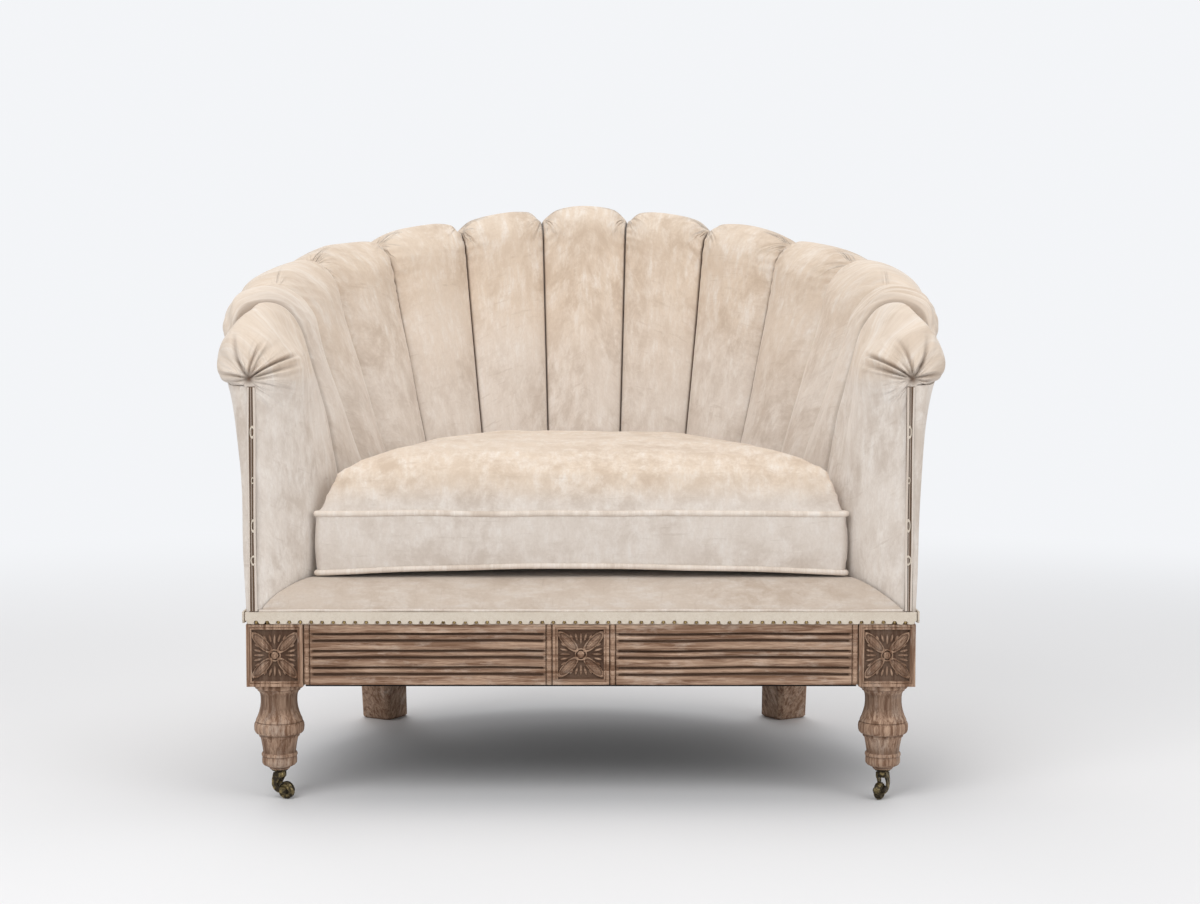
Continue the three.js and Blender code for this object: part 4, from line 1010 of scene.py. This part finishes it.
def seamRing(height, count=420, passes=5):
    # the cushion's outline with evenly spaced points and slightly rounded corners
    ring = ringAt("seat_cushion", height)
    loop = np.vstack([ring, ring[:1]])
    lengths = lengthsOf(loop)
    places = np.linspace(0, lengths[-1], count, endpoint=False)
    ring = columns(*(np.interp(places, lengths, loop[:, axis]) for axis in (0, 1)))
    for _ in range(passes):
        ring = (np.roll(ring, 1, 0) + 2 * ring + np.roll(ring, -1, 0)) / 4
    return ring


def inflate(piece, held, values):
    # blows the remeshed pad up as cloth, held at the seams; only what it swells outwards is kept
    start, outwards = pointsOf(piece), normalsOf(piece)
    group = piece.vertex_groups.new(name="held")
    group.add([int(index) for index in np.nonzero(held)[0]], 1.0, "REPLACE")
    activate(piece)
    modifier = piece.modifiers.new("cloth", "CLOTH")
    cloth = modifier.settings
    cloth.use_pressure = True
    cloth.uniform_pressure_force = values["pressure"]
    cloth.vertex_group_mass = "held"
    cloth.shrink_min = values["shrink"]
    cloth.tension_stiffness = values["tension"]
    cloth.bending_stiffness = values["bending"]
    cloth.effector_weights.gravity = 0
    modifier.point_cache.frame_end = values["frames"] + 1
    for frameNumber in range(1, values["frames"] + 1):
        bpy.context.scene.frame_set(frameNumber)
    bpy.ops.object.modifier_apply(modifier=modifier.name)
    bpy.context.scene.frame_set(1)
    swell = np.sum((pointsOf(piece) - start) * outwards, axis=1)
    cap = values["cap"]
    movePoints(piece, start + outwards * (cap * np.tanh(np.maximum(swell, 0) / cap))[:, None])


def outwardsOf(ring):
    # unit directions out of a closed outline at each of its points
    along = np.roll(ring, -3, 0) - np.roll(ring, 3, 0)
    outwards = unitOf(columns(along[:, 1], -along[:, 0]))
    return outwards * np.sign(np.sum(outwards * (ring - ring.mean(0)), axis=1))[:, None]


def squareSides(points, ring, bottomSeam, values):
    # the boxing stands nearly flush with the piping all round
    rise = (points[:, 2] - bottomSeam) / (values["topSeam"] - bottomSeam)
    boxing = np.nonzero((rise > -0.04) & (rise < 1.04))[0]
    rise, sides = rise[boxing], points[boxing, :2]
    nearest = np.argmin(np.sum((sides[:, None] - ring[None]) ** 2, axis=2), axis=1)
    outwards = outwardsOf(ring)[nearest]
    inset = np.sum((ring[nearest] - sides) * outwards, axis=1)
    wanted = values["sideInset"] - values["sideBelly"] * np.sin(math.pi * np.clip(rise, 0, 1)) ** 0.5
    share = (1 - smoothStep(0.010, 0.022, inset)) * smoothStep(-0.04, 0.04, rise)
    share *= 1 - smoothStep(0.97, 1.04, rise)
    moved = points.copy()
    moved[boxing, :2] += outwards * ((inset - wanted) * share)[:, None]
    return moved


def bowOf(points, values):
    # the front of the cushion's underside lifts off the deck towards the middle
    share = 1 - (points[:, 0] / values["bowHalfWidth"]) ** 2
    nearFront = 1 - smoothStep(*values["bowDepths"], points[:, 1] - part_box("seat_cushion")[0].y)
    low = 1 - smoothStep(*values["bowHeights"], points[:, 2])
    return values["bow"] * np.clip(share, 0, 1) * nearFront * low


def makeCushion(values):
    piece = softCopy("seat_cushion", "seatCushionPad")
    low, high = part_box("seat_cushion")
    middle = np.array((low + high) / 2)
    topSeam, bottomSeam = values["topSeam"], low.z + values["seamAbove"]
    movePoints(piece, middle + (pointsOf(piece) - middle) * values["slimmer"])
    applyModifier(piece, "REMESH", mode="VOXEL", voxel_size=values["voxel"])

    def seamReach():
        heights = pointsOf(piece)[:, 2]
        return np.minimum(np.abs(heights - bottomSeam), np.abs(heights - topSeam))

    lateral = np.abs(normalsOf(piece)[:, 2]) < 0.75
    inflate(piece, (lateral & (seamReach() < 0.006)) | (pointsOf(piece)[:, 2] < bottomSeam), values)
    piece, points, normals = refined(piece, 1)
    around = np.where(np.abs(normals[:, 0]) > np.abs(normals[:, 1]), points[:, 1], points[:, 0])
    wave = np.sin(around * 2 * math.pi * values["puckersPerMetre"] + 4 * rippleAt(points, 6, 61))
    top = smoothStep(topSeam + 0.004, topSeam + 0.05, points[:, 2])
    lift = values["puckerDepth"] * wave * np.exp(-seamReach() / 0.02) * (1 - top)
    lift += values["topUneven"] * rippleAt(points, 3.2, 62) * top
    lift += values["uneven"] * rippleAt(points, 11, 63)
    points = squareSides(points + normals * lift[:, None], seamRing(bottomSeam), bottomSeam, values)
    points[:, 2] += bowOf(points, values)
    points[:, 2] = np.maximum(points[:, 2], low.z)
    movePoints(piece, points)
    nap = (points[:, 0] * 0.7, points[:, 1] + points[:, 2] * 1.2, 93.0)
    smoothed(piece)
    # painted light: warm tan tone on the crown, paler sheen on the boxing
    upholster(piece, nap, 0.1 + 0.9 * top, "seat_cushion", seam=values["boxingShade"] * (1 - top), body="cushion")
    for name, height in (("cushionTopPiping", topSeam), ("cushionBottomPiping", bottomSeam)):
        ring = seamRing(height)
        path = columns(*(ring - outwardsOf(ring) * values["pipingInset"]).T, height)
        path[:, 2] += 0.0006 * rippleAt(path, 8, 64) + bowOf(path, values)
        piping = tubeAlong(name, path, values["pipingRadius"], True)
        upholster(piping, (pointsOf(piping) * (1.0, 0.6, 3)).T, 0.4, body="cushion")


makeCushion(cushionLook)
print("cushion: inflated pad with piping")


trimLook = {
    "pitch": 0.0155,
    "gapHeight": 0.0045,
    "thickness": 0.0026,
    "nailRadius": 0.0025,
    "nailRise": 0.0017,
    "nailHeight": 0.0023,
}


def hullPath(node, height):
    # outer outline of the tub band in plan, from the right front round the back to the left front
    spots = sorted(set(map(tuple, np.round(ringAt(node, height), 6))))
    hull = []
    for run in (spots, spots[::-1]):
        chain = []
        for spot in run:
            while len(chain) > 1:
                (ax, ay), (bx, by) = chain[-2:]
                if (bx - ax) * (spot[1] - ay) - (by - ay) * (spot[0] - ax) > 1e-10:
                    break
                chain.pop()
            chain.append(spot)
        hull += chain[:-1]
    start = max(range(len(hull)), key=lambda index: hull[index][0] - 3 * hull[index][1])
    return np.array(hull[start:] + hull[:start])


def bentAlong(points, path, reach):
    # lays a straight strip (along X, out along -Y) round the path
    ends = lengthsOf(path)
    along = np.clip(points[:, 0] / reach, 0, 1) * ends[-1]

    def placeAt(lengths):
        return columns(*(np.interp(np.clip(lengths, 0, ends[-1]), ends, path[:, axis]) for axis in (0, 1)))

    direction = unitOf(placeAt(along + 0.004) - placeAt(along - 0.004))
    outward = columns(direction[:, 1], -direction[:, 0])
    return columns(*(placeAt(along) - outward * points[:, 1:2]).T, points[:, 2])


def repeated(piece, count, pitch):
    applyModifier(piece, "ARRAY", count=count, use_relative_offset=False, use_constant_offset=True,
                  constant_offset_displace=(pitch, 0, 0), use_merge_vertices=True, merge_threshold=0.00003)


def tabbedStrip(name, count, pitch, low, high, values):
    # one tab of the band is shaped, then repeated
    piece = freshPiece(bpy.ops.mesh.primitive_grid_add, name, x_subdivisions=8, y_subdivisions=6, size=1)
    with editing():
        rotate(quarterTurn, "X")
    unit = pointsOf(piece)
    across, rise = unit[:, 0] + 0.5, unit[:, 2] - unit[:, 2].min()
    slack = np.sin(math.pi * np.clip((across - 0.17) / 0.66, 0, 1))
    bottom = low + values["gapHeight"] * (1 - np.clip(slack * 2.4, 0, 1))
    belly = -0.0005 * np.sin(math.pi * across) * (1 - rise)
    movePoints(piece, columns(across * pitch, belly, bottom + (high - bottom) * rise))
    repeated(piece, count, pitch)
    applyModifier(piece, "SOLIDIFY", thickness=values["thickness"], offset=1)
    points = pointsOf(piece)
    points[:, 1] -= points[:, 1].max()
    points[:, 2] += 0.0004 * rippleAt(points * (1, 0, 0), 16, 71) * (points[:, 2] < low + 0.006)
    movePoints(piece, points)
    return piece


def nailRow(name, count, pitch, height, values):
    # a domed nail head in each gap of the band
    piece = freshPiece(bpy.ops.mesh.primitive_uv_sphere_add, name, segments=10, ring_count=6,
                       radius=values["nailRadius"])
    with editing():
        bpy.ops.mesh.bisect(plane_co=origin, plane_no=(0, 1, 0), clear_outer=True, use_fill=True)
        bpy.ops.mesh.select_all(action="SELECT")
        resize((1, values["nailRise"] / values["nailRadius"], 1))
        bpy.ops.transform.translate(value=(0, 0, height))
    repeated(piece, count, pitch)
    bpy.ops.object.shade_smooth_by_angle(angle=math.radians(50))
    return piece


def nailedBand(name, node, reach, place, values):
    # a straight band with its nails, then brought to its place by the given function
    low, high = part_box(node)
    count = round(reach / values["pitch"])
    pitch = reach / count
    band = tabbedStrip(f"{name}Band", count, pitch, low.z, high.z, values)
    nails = nailRow(f"{name}Nails", count - 1, pitch, low.z + values["nailHeight"], values)
    for piece, start in ((band, 0), (nails, pitch)):
        movePoints(piece, place(pointsOf(piece) + (start, 0, 0)))
    finishPiece(band, "root", "linen_tape", "tape", node)
    finishPiece(nails, "root", "aged_brass", "nailBrass")


def makeTrim(values):
    low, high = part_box("front_trim_band")
    nailedBand("frontTrim", "front_trim_band", high.x - low.x,
               lambda points: points + (low.x, front - 0.0003, 0), values)
    path = hullPath("tub_trim_band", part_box("tub_trim_band")[0].z)
    reach = np.sum(stepsOf(path))
    nailedBand("tubTrim", "tub_trim_band", reach,
               lambda points: bentAlong(points + (0, values["thickness"] + 0.0002, 0), path, reach), values)


makeTrim(trimLook)
print("trim: tabbed bands and nails")


stripLook = {
    "backing": 0.0011,
    "tapeDepth": 0.0004,  # how far the tape stands out from the rail's face
    "linePoints": 70,
    # cords in the slot: how far in from its outer edge, radius and seam shade
    "lines": ((0.0011, 0.0014, 0.06), (0.0052, 0.0008, 0.55), (0.0094, 0.0019, 0.06)),
    # loops: height, half height and half width
    "loops": ((0.529, 0.0075, 0.0028), (0.461, 0.0040, 0.0018), (0.397, 0.0078, 0.0024), (0.348, 0.0058, 0.0034)),
    "loopInset": 0.0068,
    "loopDepth": 0.0042,
}


def makeStrip(side, sign, values):
    low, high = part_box(f"{side}_facing_strip")
    outer = max(abs(low.x), abs(high.x))
    tape = freshPiece(bpy.ops.mesh.primitive_grid_add, f"{side}FacingTape", x_subdivisions=6,
                      y_subdivisions=60, size=1)
    unit = pointsOf(tape) + (0.5, 0.5, 0)
    face = front - values["tapeDepth"]
    movePoints(tape, columns(sign * (outer - (high.x - low.x) * unit[:, 0]), face,
                             low.z + (high.z - low.z) * unit[:, 1]))
    applyModifier(tape, "SOLIDIFY", thickness=values["backing"], offset=0)
    facesOutwards()
    points = pointsOf(tape)
    points[:, 1] += front - 0.0003 - points[:, 1].max()
    movePoints(tape, points)
    # the dark backing paints the shade inside the slot
    finishPiece(tape, "root", "linen_tape", "slotShadeTape", f"{side}_facing_strip")
    for count, (offset, radius, shade) in enumerate(values["lines"], 1):
        path = columns(0.0, 0.0, np.linspace(low.z + 0.001, high.z - 0.001, values["linePoints"]))
        path[:, 0] = sign * (outer - offset) + 0.0006 * rippleAt(path, 5, 80 + count)
        path[:, 1] = face - values["backing"] - 0.3 * radius
        cord = tubeAlong(f"{side}FacingFold{count}", path, radius, False, 1)
        upholster(cord, pointsOf(cord).T, 0.3, seam=shade)
    for count, (height, tall, wide) in enumerate(values["loops"], 1):
        loop = freshPiece(bpy.ops.mesh.primitive_torus_add, f"{side}FacingLoop{count}", major_segments=28,
                          minor_segments=8, major_radius=1, minor_radius=0.26)
        with editing():
            rotate(quarterTurn, "X")
            resize((wide, values["loopDepth"], tall))
            bpy.ops.transform.translate(value=(sign * (outer - values["loopInset"]), front - 0.0026, height))
        bpy.ops.object.shade_smooth()
        finishPiece(loop, "root", "linen_tape", "tape")


for side, sign in (("right", 1), ("left", -1)):
    makeStrip(side, sign, stripLook)
print("facings: tape slots with folds and loops")


webLook = {"width": 0.050, "thickness": 0.0007, "wave": 0.00045, "waveReach": 0.034}


def makeWebbing(values):
    # three strips each way, woven over and under each other
    low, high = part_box("seat_webbing")
    springs = [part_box(f"coil_spring_{count}") for count in range(1, 10)]
    centres = [(box[0] + box[1]) / 2 for box in springs]
    ways = [sorted({round(centre[axis], 3) for centre in centres}) for axis in (0, 1)]
    outline = outlineOf("seat_webbing")
    strips = []
    for number, place in enumerate(ways[0] + ways[1]):
        axis = 1 if number < len(ways[0]) else 0
        near = outline[np.abs(outline[:, 1 - axis] - place) < values["width"] * 0.51]
        start, end = near[:, axis].min() + 0.001, near[:, axis].max() - 0.001
        strip = freshPiece(bpy.ops.mesh.primitive_grid_add, "strip", x_subdivisions=60, y_subdivisions=4, size=1)
        unit = pointsOf(strip) + (0.5, 0, 0)
        along = start + (end - start) * unit[:, 0]
        across = place + values["width"] * 0.98 * unit[:, 1]
        over = np.zeros(len(unit))
        for crossing, spot in enumerate(ways[axis]):
            sense = (-1) ** (crossing + number + 1 - axis)
            over += sense * bellAt(along - spot, values["waveReach"])
        height = (low.z + high.z) / 2 + values["wave"] * over
        movePoints(strip, columns(across, along, height) if axis else columns(along, across, height))
        applyModifier(strip, "SOLIDIFY", thickness=values["thickness"], offset=0)
        strips.append(strip)
    webbing = joinedPieces("wovenWebbing", strips)
    facesOutwards()
    finishPiece(webbing, "root", "jute_webbing", "jute", "seat_webbing")


def makeDustCloth():
    piece = cleanedCopy("dust_cover", "dustCloth", 1)
    applyModifier(piece, "BEVEL", width=0.0004, segments=2, limit_method="ANGLE")
    finishPiece(piece, "root", "dust_cloth", "dustCloth", "dust_cover")


makeWebbing(webLook)
makeDustCloth()
print("underside: webbing and dust cloth")


# Carved front rail, turned legs and back legs.

carvingLook = {
    "band": 0.012,
    "reed": 0.010,
    "floorDepth": 0.0062,
    "beadRise": 0.0048,
    "beadShare": 0.27,
    "bandDepth": 0.0008,
    "panelCells": (70, 150),
    "panelDepth": 0.020,
    "beadWidth": 0.0095,
    "beadSlot": 0.010,
    "coreDepth": 0.006,
    "blockHalf": 0.040,
    "blockDrop": 0.003,  # how far a leg's block hangs below the rail
    "wear": 0.00025,
    "waver": 0.0005,
    "softEdge": 0.0004,
    "corner": 42,
    # frame steps of a carved square, from its edge in: how far in, how far out of the wood
    "frame": ((0.0036, 0), (0.0007, -0.0020), (0.0009, 0), (0.0007, 0.0017), (0.0013, 0), (0.0010, -0.0047)),
}


def boxBetween(name, low, high):
    piece = freshPiece(bpy.ops.mesh.primitive_cube_add, name, size=1)
    low, high = Vector(low), Vector(high)
    with editing():
        resize(high - low)
        bpy.ops.transform.translate(value=(low + high) / 2)
    return piece


def reedDepth(rise, height, values):
    # how deep the reeded face lies under the blocks, at each height over its lower edge
    groove = (height - 2 * values["band"] - 2 * values["reed"]) / 3
    depth = np.full(len(rise), values["bandDepth"])
    start = values["band"]
    for count in range(3):
        within = (rise - start) / groove
        bead = np.maximum(1 - ((within - 0.5) / values["beadShare"]) ** 2, 0)
        shape = values["floorDepth"] - values["beadRise"] * np.sqrt(bead)
        wall = np.clip(np.minimum(within, 1 - within) / 0.07, 0, 1)
        inside = (within >= 0) & (within <= 1)
        depth = np.where(inside, values["bandDepth"] + (shape - values["bandDepth"]) * wall, depth)
        start += groove
        if count < 2:
            across = np.abs(rise - start - values["reed"] / 2) / (values["reed"] / 2)
            depth = np.where(across <= 1, values["bandDepth"] / 2 + 0.0020 * across ** 2.6, depth)
            start += values["reed"]
    return depth


def makeReeds(fromX, toX, low, high, seed, values):
    # a fine upright grid is pressed into reeds, then gets sides and a flat back
    cellsAcross, cellsUp = values["panelCells"]
    piece = freshPiece(bpy.ops.mesh.primitive_grid_add, "reeds", x_subdivisions=cellsAcross,
                       y_subdivisions=cellsUp, size=1)
    with editing():
        rotate(-quarterTurn, "X")
    unit = pointsOf(piece)
    across, rise = unit[:, 0] + 0.5, unit[:, 2] + 0.5
    height, width = high.z - low.z, toX - fromX
    depth = reedDepth(rise * height, height, values)
    fromEnd = np.minimum(across, 1 - across) * width
    depth = values["bandDepth"] + (depth - values["bandDepth"]) * smoothStep(0.0008, 0.0045, fromEnd)
    points = columns(fromX + width * across, front + depth, low.z + height * rise)
    wornAndShaded = rippleAt(points * (1, 0, 6), 7, seed)
    inner = np.minimum(rise, 1 - rise) > 0.001
    points[:, 1] += np.where(inner, values["wear"] * wornAndShaded, 0)
    points[:, 2] += np.where(inner, values["waver"] * rippleAt(points * (1, 0, 0.5), 5, seed + 1), 0)
    movePoints(piece, points)
    with editing():
        bpy.ops.mesh.extrude_region_move(TRANSFORM_OT_translate={"value": (0, values["panelDepth"], 0)})
        resize((1, 0, 1), (0, front + values["panelDepth"], 0))
    facesOutwards()
    return piece


def carvedBlock(name, centre, low, high, values):
    # a square block whose front has a double-lined frame round a sunk field
    half = values["blockHalf"]
    piece = boxBetween(name, (centre - half, low.y, low.z), (centre + half, high.y, high.z))
    pickOnly(piece, "FACE", lambda face: face.normal.y < -0.9)
    with editing(None):
        for inward, out in values["frame"]:
            bpy.ops.mesh.inset(thickness=inward, depth=out)
    applyModifier(piece, "BEVEL", width=values["softEdge"], segments=2, limit_method="ANGLE")
    return piece


rosetteLook = {
    # rim, body and vein of a petal: middle along the diagonal, half length, half width, rise
    "petal": {"middle": 0.0255, "length": 0.0180, "width": 0.0064, "rim": 0.14, "rimRise": 0.0036,
              "bodyRise": 0.0022, "veinWidth": 0.0013, "veinRise": 0.0040},
    # ribs of the small fans between the petals: turn in degrees, middle, half length
    "ribs": ((0, 0.0225, 0.0085), (15, 0.0250, 0.0066), (-15, 0.0250, 0.0066), (29, 0.0282, 0.0044),
             (-29, 0.0282, 0.0044)),
    "ribWidth": 0.0019,
    "ribRise": 0.0031,
    "button": 0.0058,
    "buttonRise": 0.0046,
    "buttonRing": 0.0078,
    "eye": 0.0024,
    "field": 0.0048,  # how deep the carving's field lies
}


def carvedPart(middle, size, turn, standing, add, **settings):
    # a ball or ring flattened on the carving's field, turned about the carving's middle
    piece = freshPiece(add, "carvedPart", **settings)
    with editing():
        if standing:
            rotate(quarterTurn, "X")
        resize(size)
        bpy.ops.transform.translate(value=(middle, 0, 0))
        rotate(-math.radians(turn), "Y")
    return piece


def domeAt(middle, size, turn, segments=20):
    return carvedPart(middle, size, turn, False, bpy.ops.mesh.primitive_uv_sphere_add, segments=segments,
                      ring_count=segments // 2, radius=1)


def ringAbout(middle, size, turn, thickness):
    return carvedPart(middle, size, turn, True, bpy.ops.mesh.primitive_torus_add, major_segments=36,
                      minor_segments=8, major_radius=1, minor_radius=thickness)


def makeRosette(values):
    # one petal and one fan are modelled, then turned round in quarters
    petal = values["petal"]
    length, width = petal["length"], petal["width"]
    parts = [
        ringAbout(petal["middle"], (length, petal["rimRise"] / petal["rim"], width), 45, petal["rim"]),
        domeAt(petal["middle"], (length * 0.98, petal["bodyRise"], width * 0.98), 45),
        domeAt(petal["middle"], (length * 0.92, petal["veinRise"], petal["veinWidth"]), 45, 14),
    ]
    for turn, middle, half in values["ribs"]:
        parts.append(domeAt(middle, (half, values["ribRise"], values["ribWidth"]), turn, 12))
    quarter = joinedPieces("quarter", parts)
    with editing():
        for _ in range(3):
            bpy.ops.mesh.duplicate()
            rotate(quarterTurn, "Y")
    button = values["button"]
    return joinedPieces("carvedRosette", [
        quarter,
        domeAt(0, (button, values["buttonRise"], button), 0, 24),
        ringAbout(0, (values["buttonRing"], 0.025, values["buttonRing"]), 0, 0.16),
        ringAbout(0, (values["eye"], 0.0105, values["eye"]), 0, 0.48),
    ])


def placedCopy(rosette, centreX, centreZ):
    piece = addObject("rosetteCopy", rosette.data.copy())
    movePoints(piece, pointsOf(piece) + (centreX, front + rosetteLook["field"], centreZ))
    return piece


def cavityShadeBelow(piece):
    # painted shade: dark in the depths of the carving, clear on its crests
    below = pointsOf(piece)[:, 1] - front
    storeFloat(piece, "cavityShade", smoothStep(0.0012, 0.0054, below) * (below < 0.0075))


def makeFrontRail(rosette, values):
    low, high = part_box("front_rail")
    half, slot, core = values["blockHalf"], values["beadSlot"], values["coreDepth"]
    parts = [boxBetween("core", (low.x, front + core, low.z), (high.x, high.y, high.z)),
             carvedBlock("centre", 0, low, high, values)]
    for side in (-1, 1):
        ends = sorted((side * (half + slot), side * (high.x - slot)))
        parts.append(makeReeds(*ends, low, high, 90 + side, values))
        for place in (half + slot / 2, high.x - slot / 2):
            bead = freshPiece(bpy.ops.mesh.primitive_cylinder_add, "bead", vertices=28, radius=1, depth=1)
            with editing():
                resize((values["beadWidth"] / 2, core - 0.0004, high.z - low.z))
                bpy.ops.transform.translate(value=(side * place, front + core, (low.z + high.z) / 2))
            parts.append(bead)
    parts.append(placedCopy(rosette, 0, (low.z + high.z) / 2))
    rail = joinedPieces("carvedFrontRail", parts)
    cavityShadeBelow(rail)
    smoothed(rail, values["corner"])
    finishPiece(rail, "root", "weathered_wood", "woodAcross", "front_rail")


# the turning under the block: height and radius in millimetres, from the block down
turnedProfile = (
    (170, 0), (170, 30), (168, 33.4), (166.5, 34.5), (163, 34.9), (160.8, 33.8), (160.2, 31.6), (158.8, 30.6),
    (157.2, 30.4), (156, 28.4), (152, 26.7), (147, 26.1), (140, 26.1), (133, 26.9), (126, 28.7), (120, 30.8),
    (115.4, 33), (113, 33.4), (112.2, 32.6), (111.4, 34.2), (109, 35.4), (105, 35.8), (100, 35.4), (97, 34.3),
    (95.6, 33), (94.6, 30.2), (92.6, 28.8), (90.8, 28.9), (89.4, 26.9), (84, 25.7), (76, 24.3), (70, 23.5),
    (67.8, 23.5), (67, 24.8), (65.4, 25.6), (63, 25.6), (61.8, 24.4), (60, 24.7), (56, 25), (52, 24.7),
    (49.4, 22.8), (47.4, 19), (46, 15.8), (44, 14.4), (43, 13.8), (43, 5.2), (73, 5.2), (73, 0),
)


def makeTurning(centreX, centreY):
    # one edge of a grid is laid along the profile and spun
    profile = np.array(turnedProfile) / 1000
    piece = freshPiece(bpy.ops.mesh.primitive_grid_add, "turning", x_subdivisions=1,
                       y_subdivisions=len(profile) - 1, size=1)
    pickOnly(piece, "VERT", lambda vertex: vertex.co.x > 0)
    with editing(None):
        bpy.ops.mesh.delete(type="VERT")
    order = np.argsort(np.argsort(-pointsOf(piece)[:, 1]))
    movePoints(piece, columns(profile[order, 1], 0.0, profile[order, 0]))
    with editing():
        bpy.ops.mesh.spin(steps=64, angle=2 * math.pi, center=origin, axis=(0, 0, 1))
        bpy.ops.mesh.select_all(action="SELECT")
        bpy.ops.mesh.remove_doubles(threshold=weldReach)
        bpy.ops.mesh.normals_make_consistent(inside=False)
        bpy.ops.transform.translate(value=(centreX, centreY, 0))
    # painted shade, dark in the turning's hollows
    heights, radii = np.array(turnedProfile)[1:45].T
    hollowShade = np.clip((np.convolve(radii, np.ones(5) / 5, mode="same") - radii) / 1.6, 0, 1)
    hollowShade *= np.abs(np.arange(len(heights)) - 22) < 20
    storeFloat(piece, "cavityShade", np.interp(pointsOf(piece)[:, 2] * 1000, heights[::-1], hollowShade[::-1]))
    return piece


def makeFrontLeg(side, rosette, values):
    low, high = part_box(f"{side}_front_leg")
    centre = (low.x + high.x) / 2
    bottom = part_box("front_rail")[0].z - values["blockDrop"]
    turning = makeTurning(centre, front + values["blockHalf"])
    block = carvedBlock("block", centre, Vector((0, low.y, bottom)), high, values)
    head = joinedPieces("head", [block, placedCopy(rosette, centre, (bottom + high.z) / 2)])
    cavityShadeBelow(head)
    leg = joinedPieces(f"{side}TurnedLeg", [head, turning])
    smoothed(leg, values["corner"])
    finishPiece(leg, "root", "weathered_wood", "woodUpright", f"{side}_front_leg")


def makeBackLeg(side):
    piece = cleanedCopy(f"{side}_back_leg", f"{side}RakedLeg", 2)
    applyModifier(piece, "BEVEL", width=0.0028, segments=3, limit_method="ANGLE", angle_limit=math.radians(25))
    smoothed(piece, 35)
    finishPiece(piece, "root", "weathered_wood", "woodUpright", f"{side}_back_leg")


rosetteSource = makeRosette(rosetteLook)
makeFrontRail(rosetteSource, carvingLook)
for side in ("right", "left"):
    makeFrontLeg(side, rosetteSource, carvingLook)
    makeBackLeg(side)
bpy.data.objects.remove(rosetteSource)
print("wood: carved rail, turned legs and back legs")
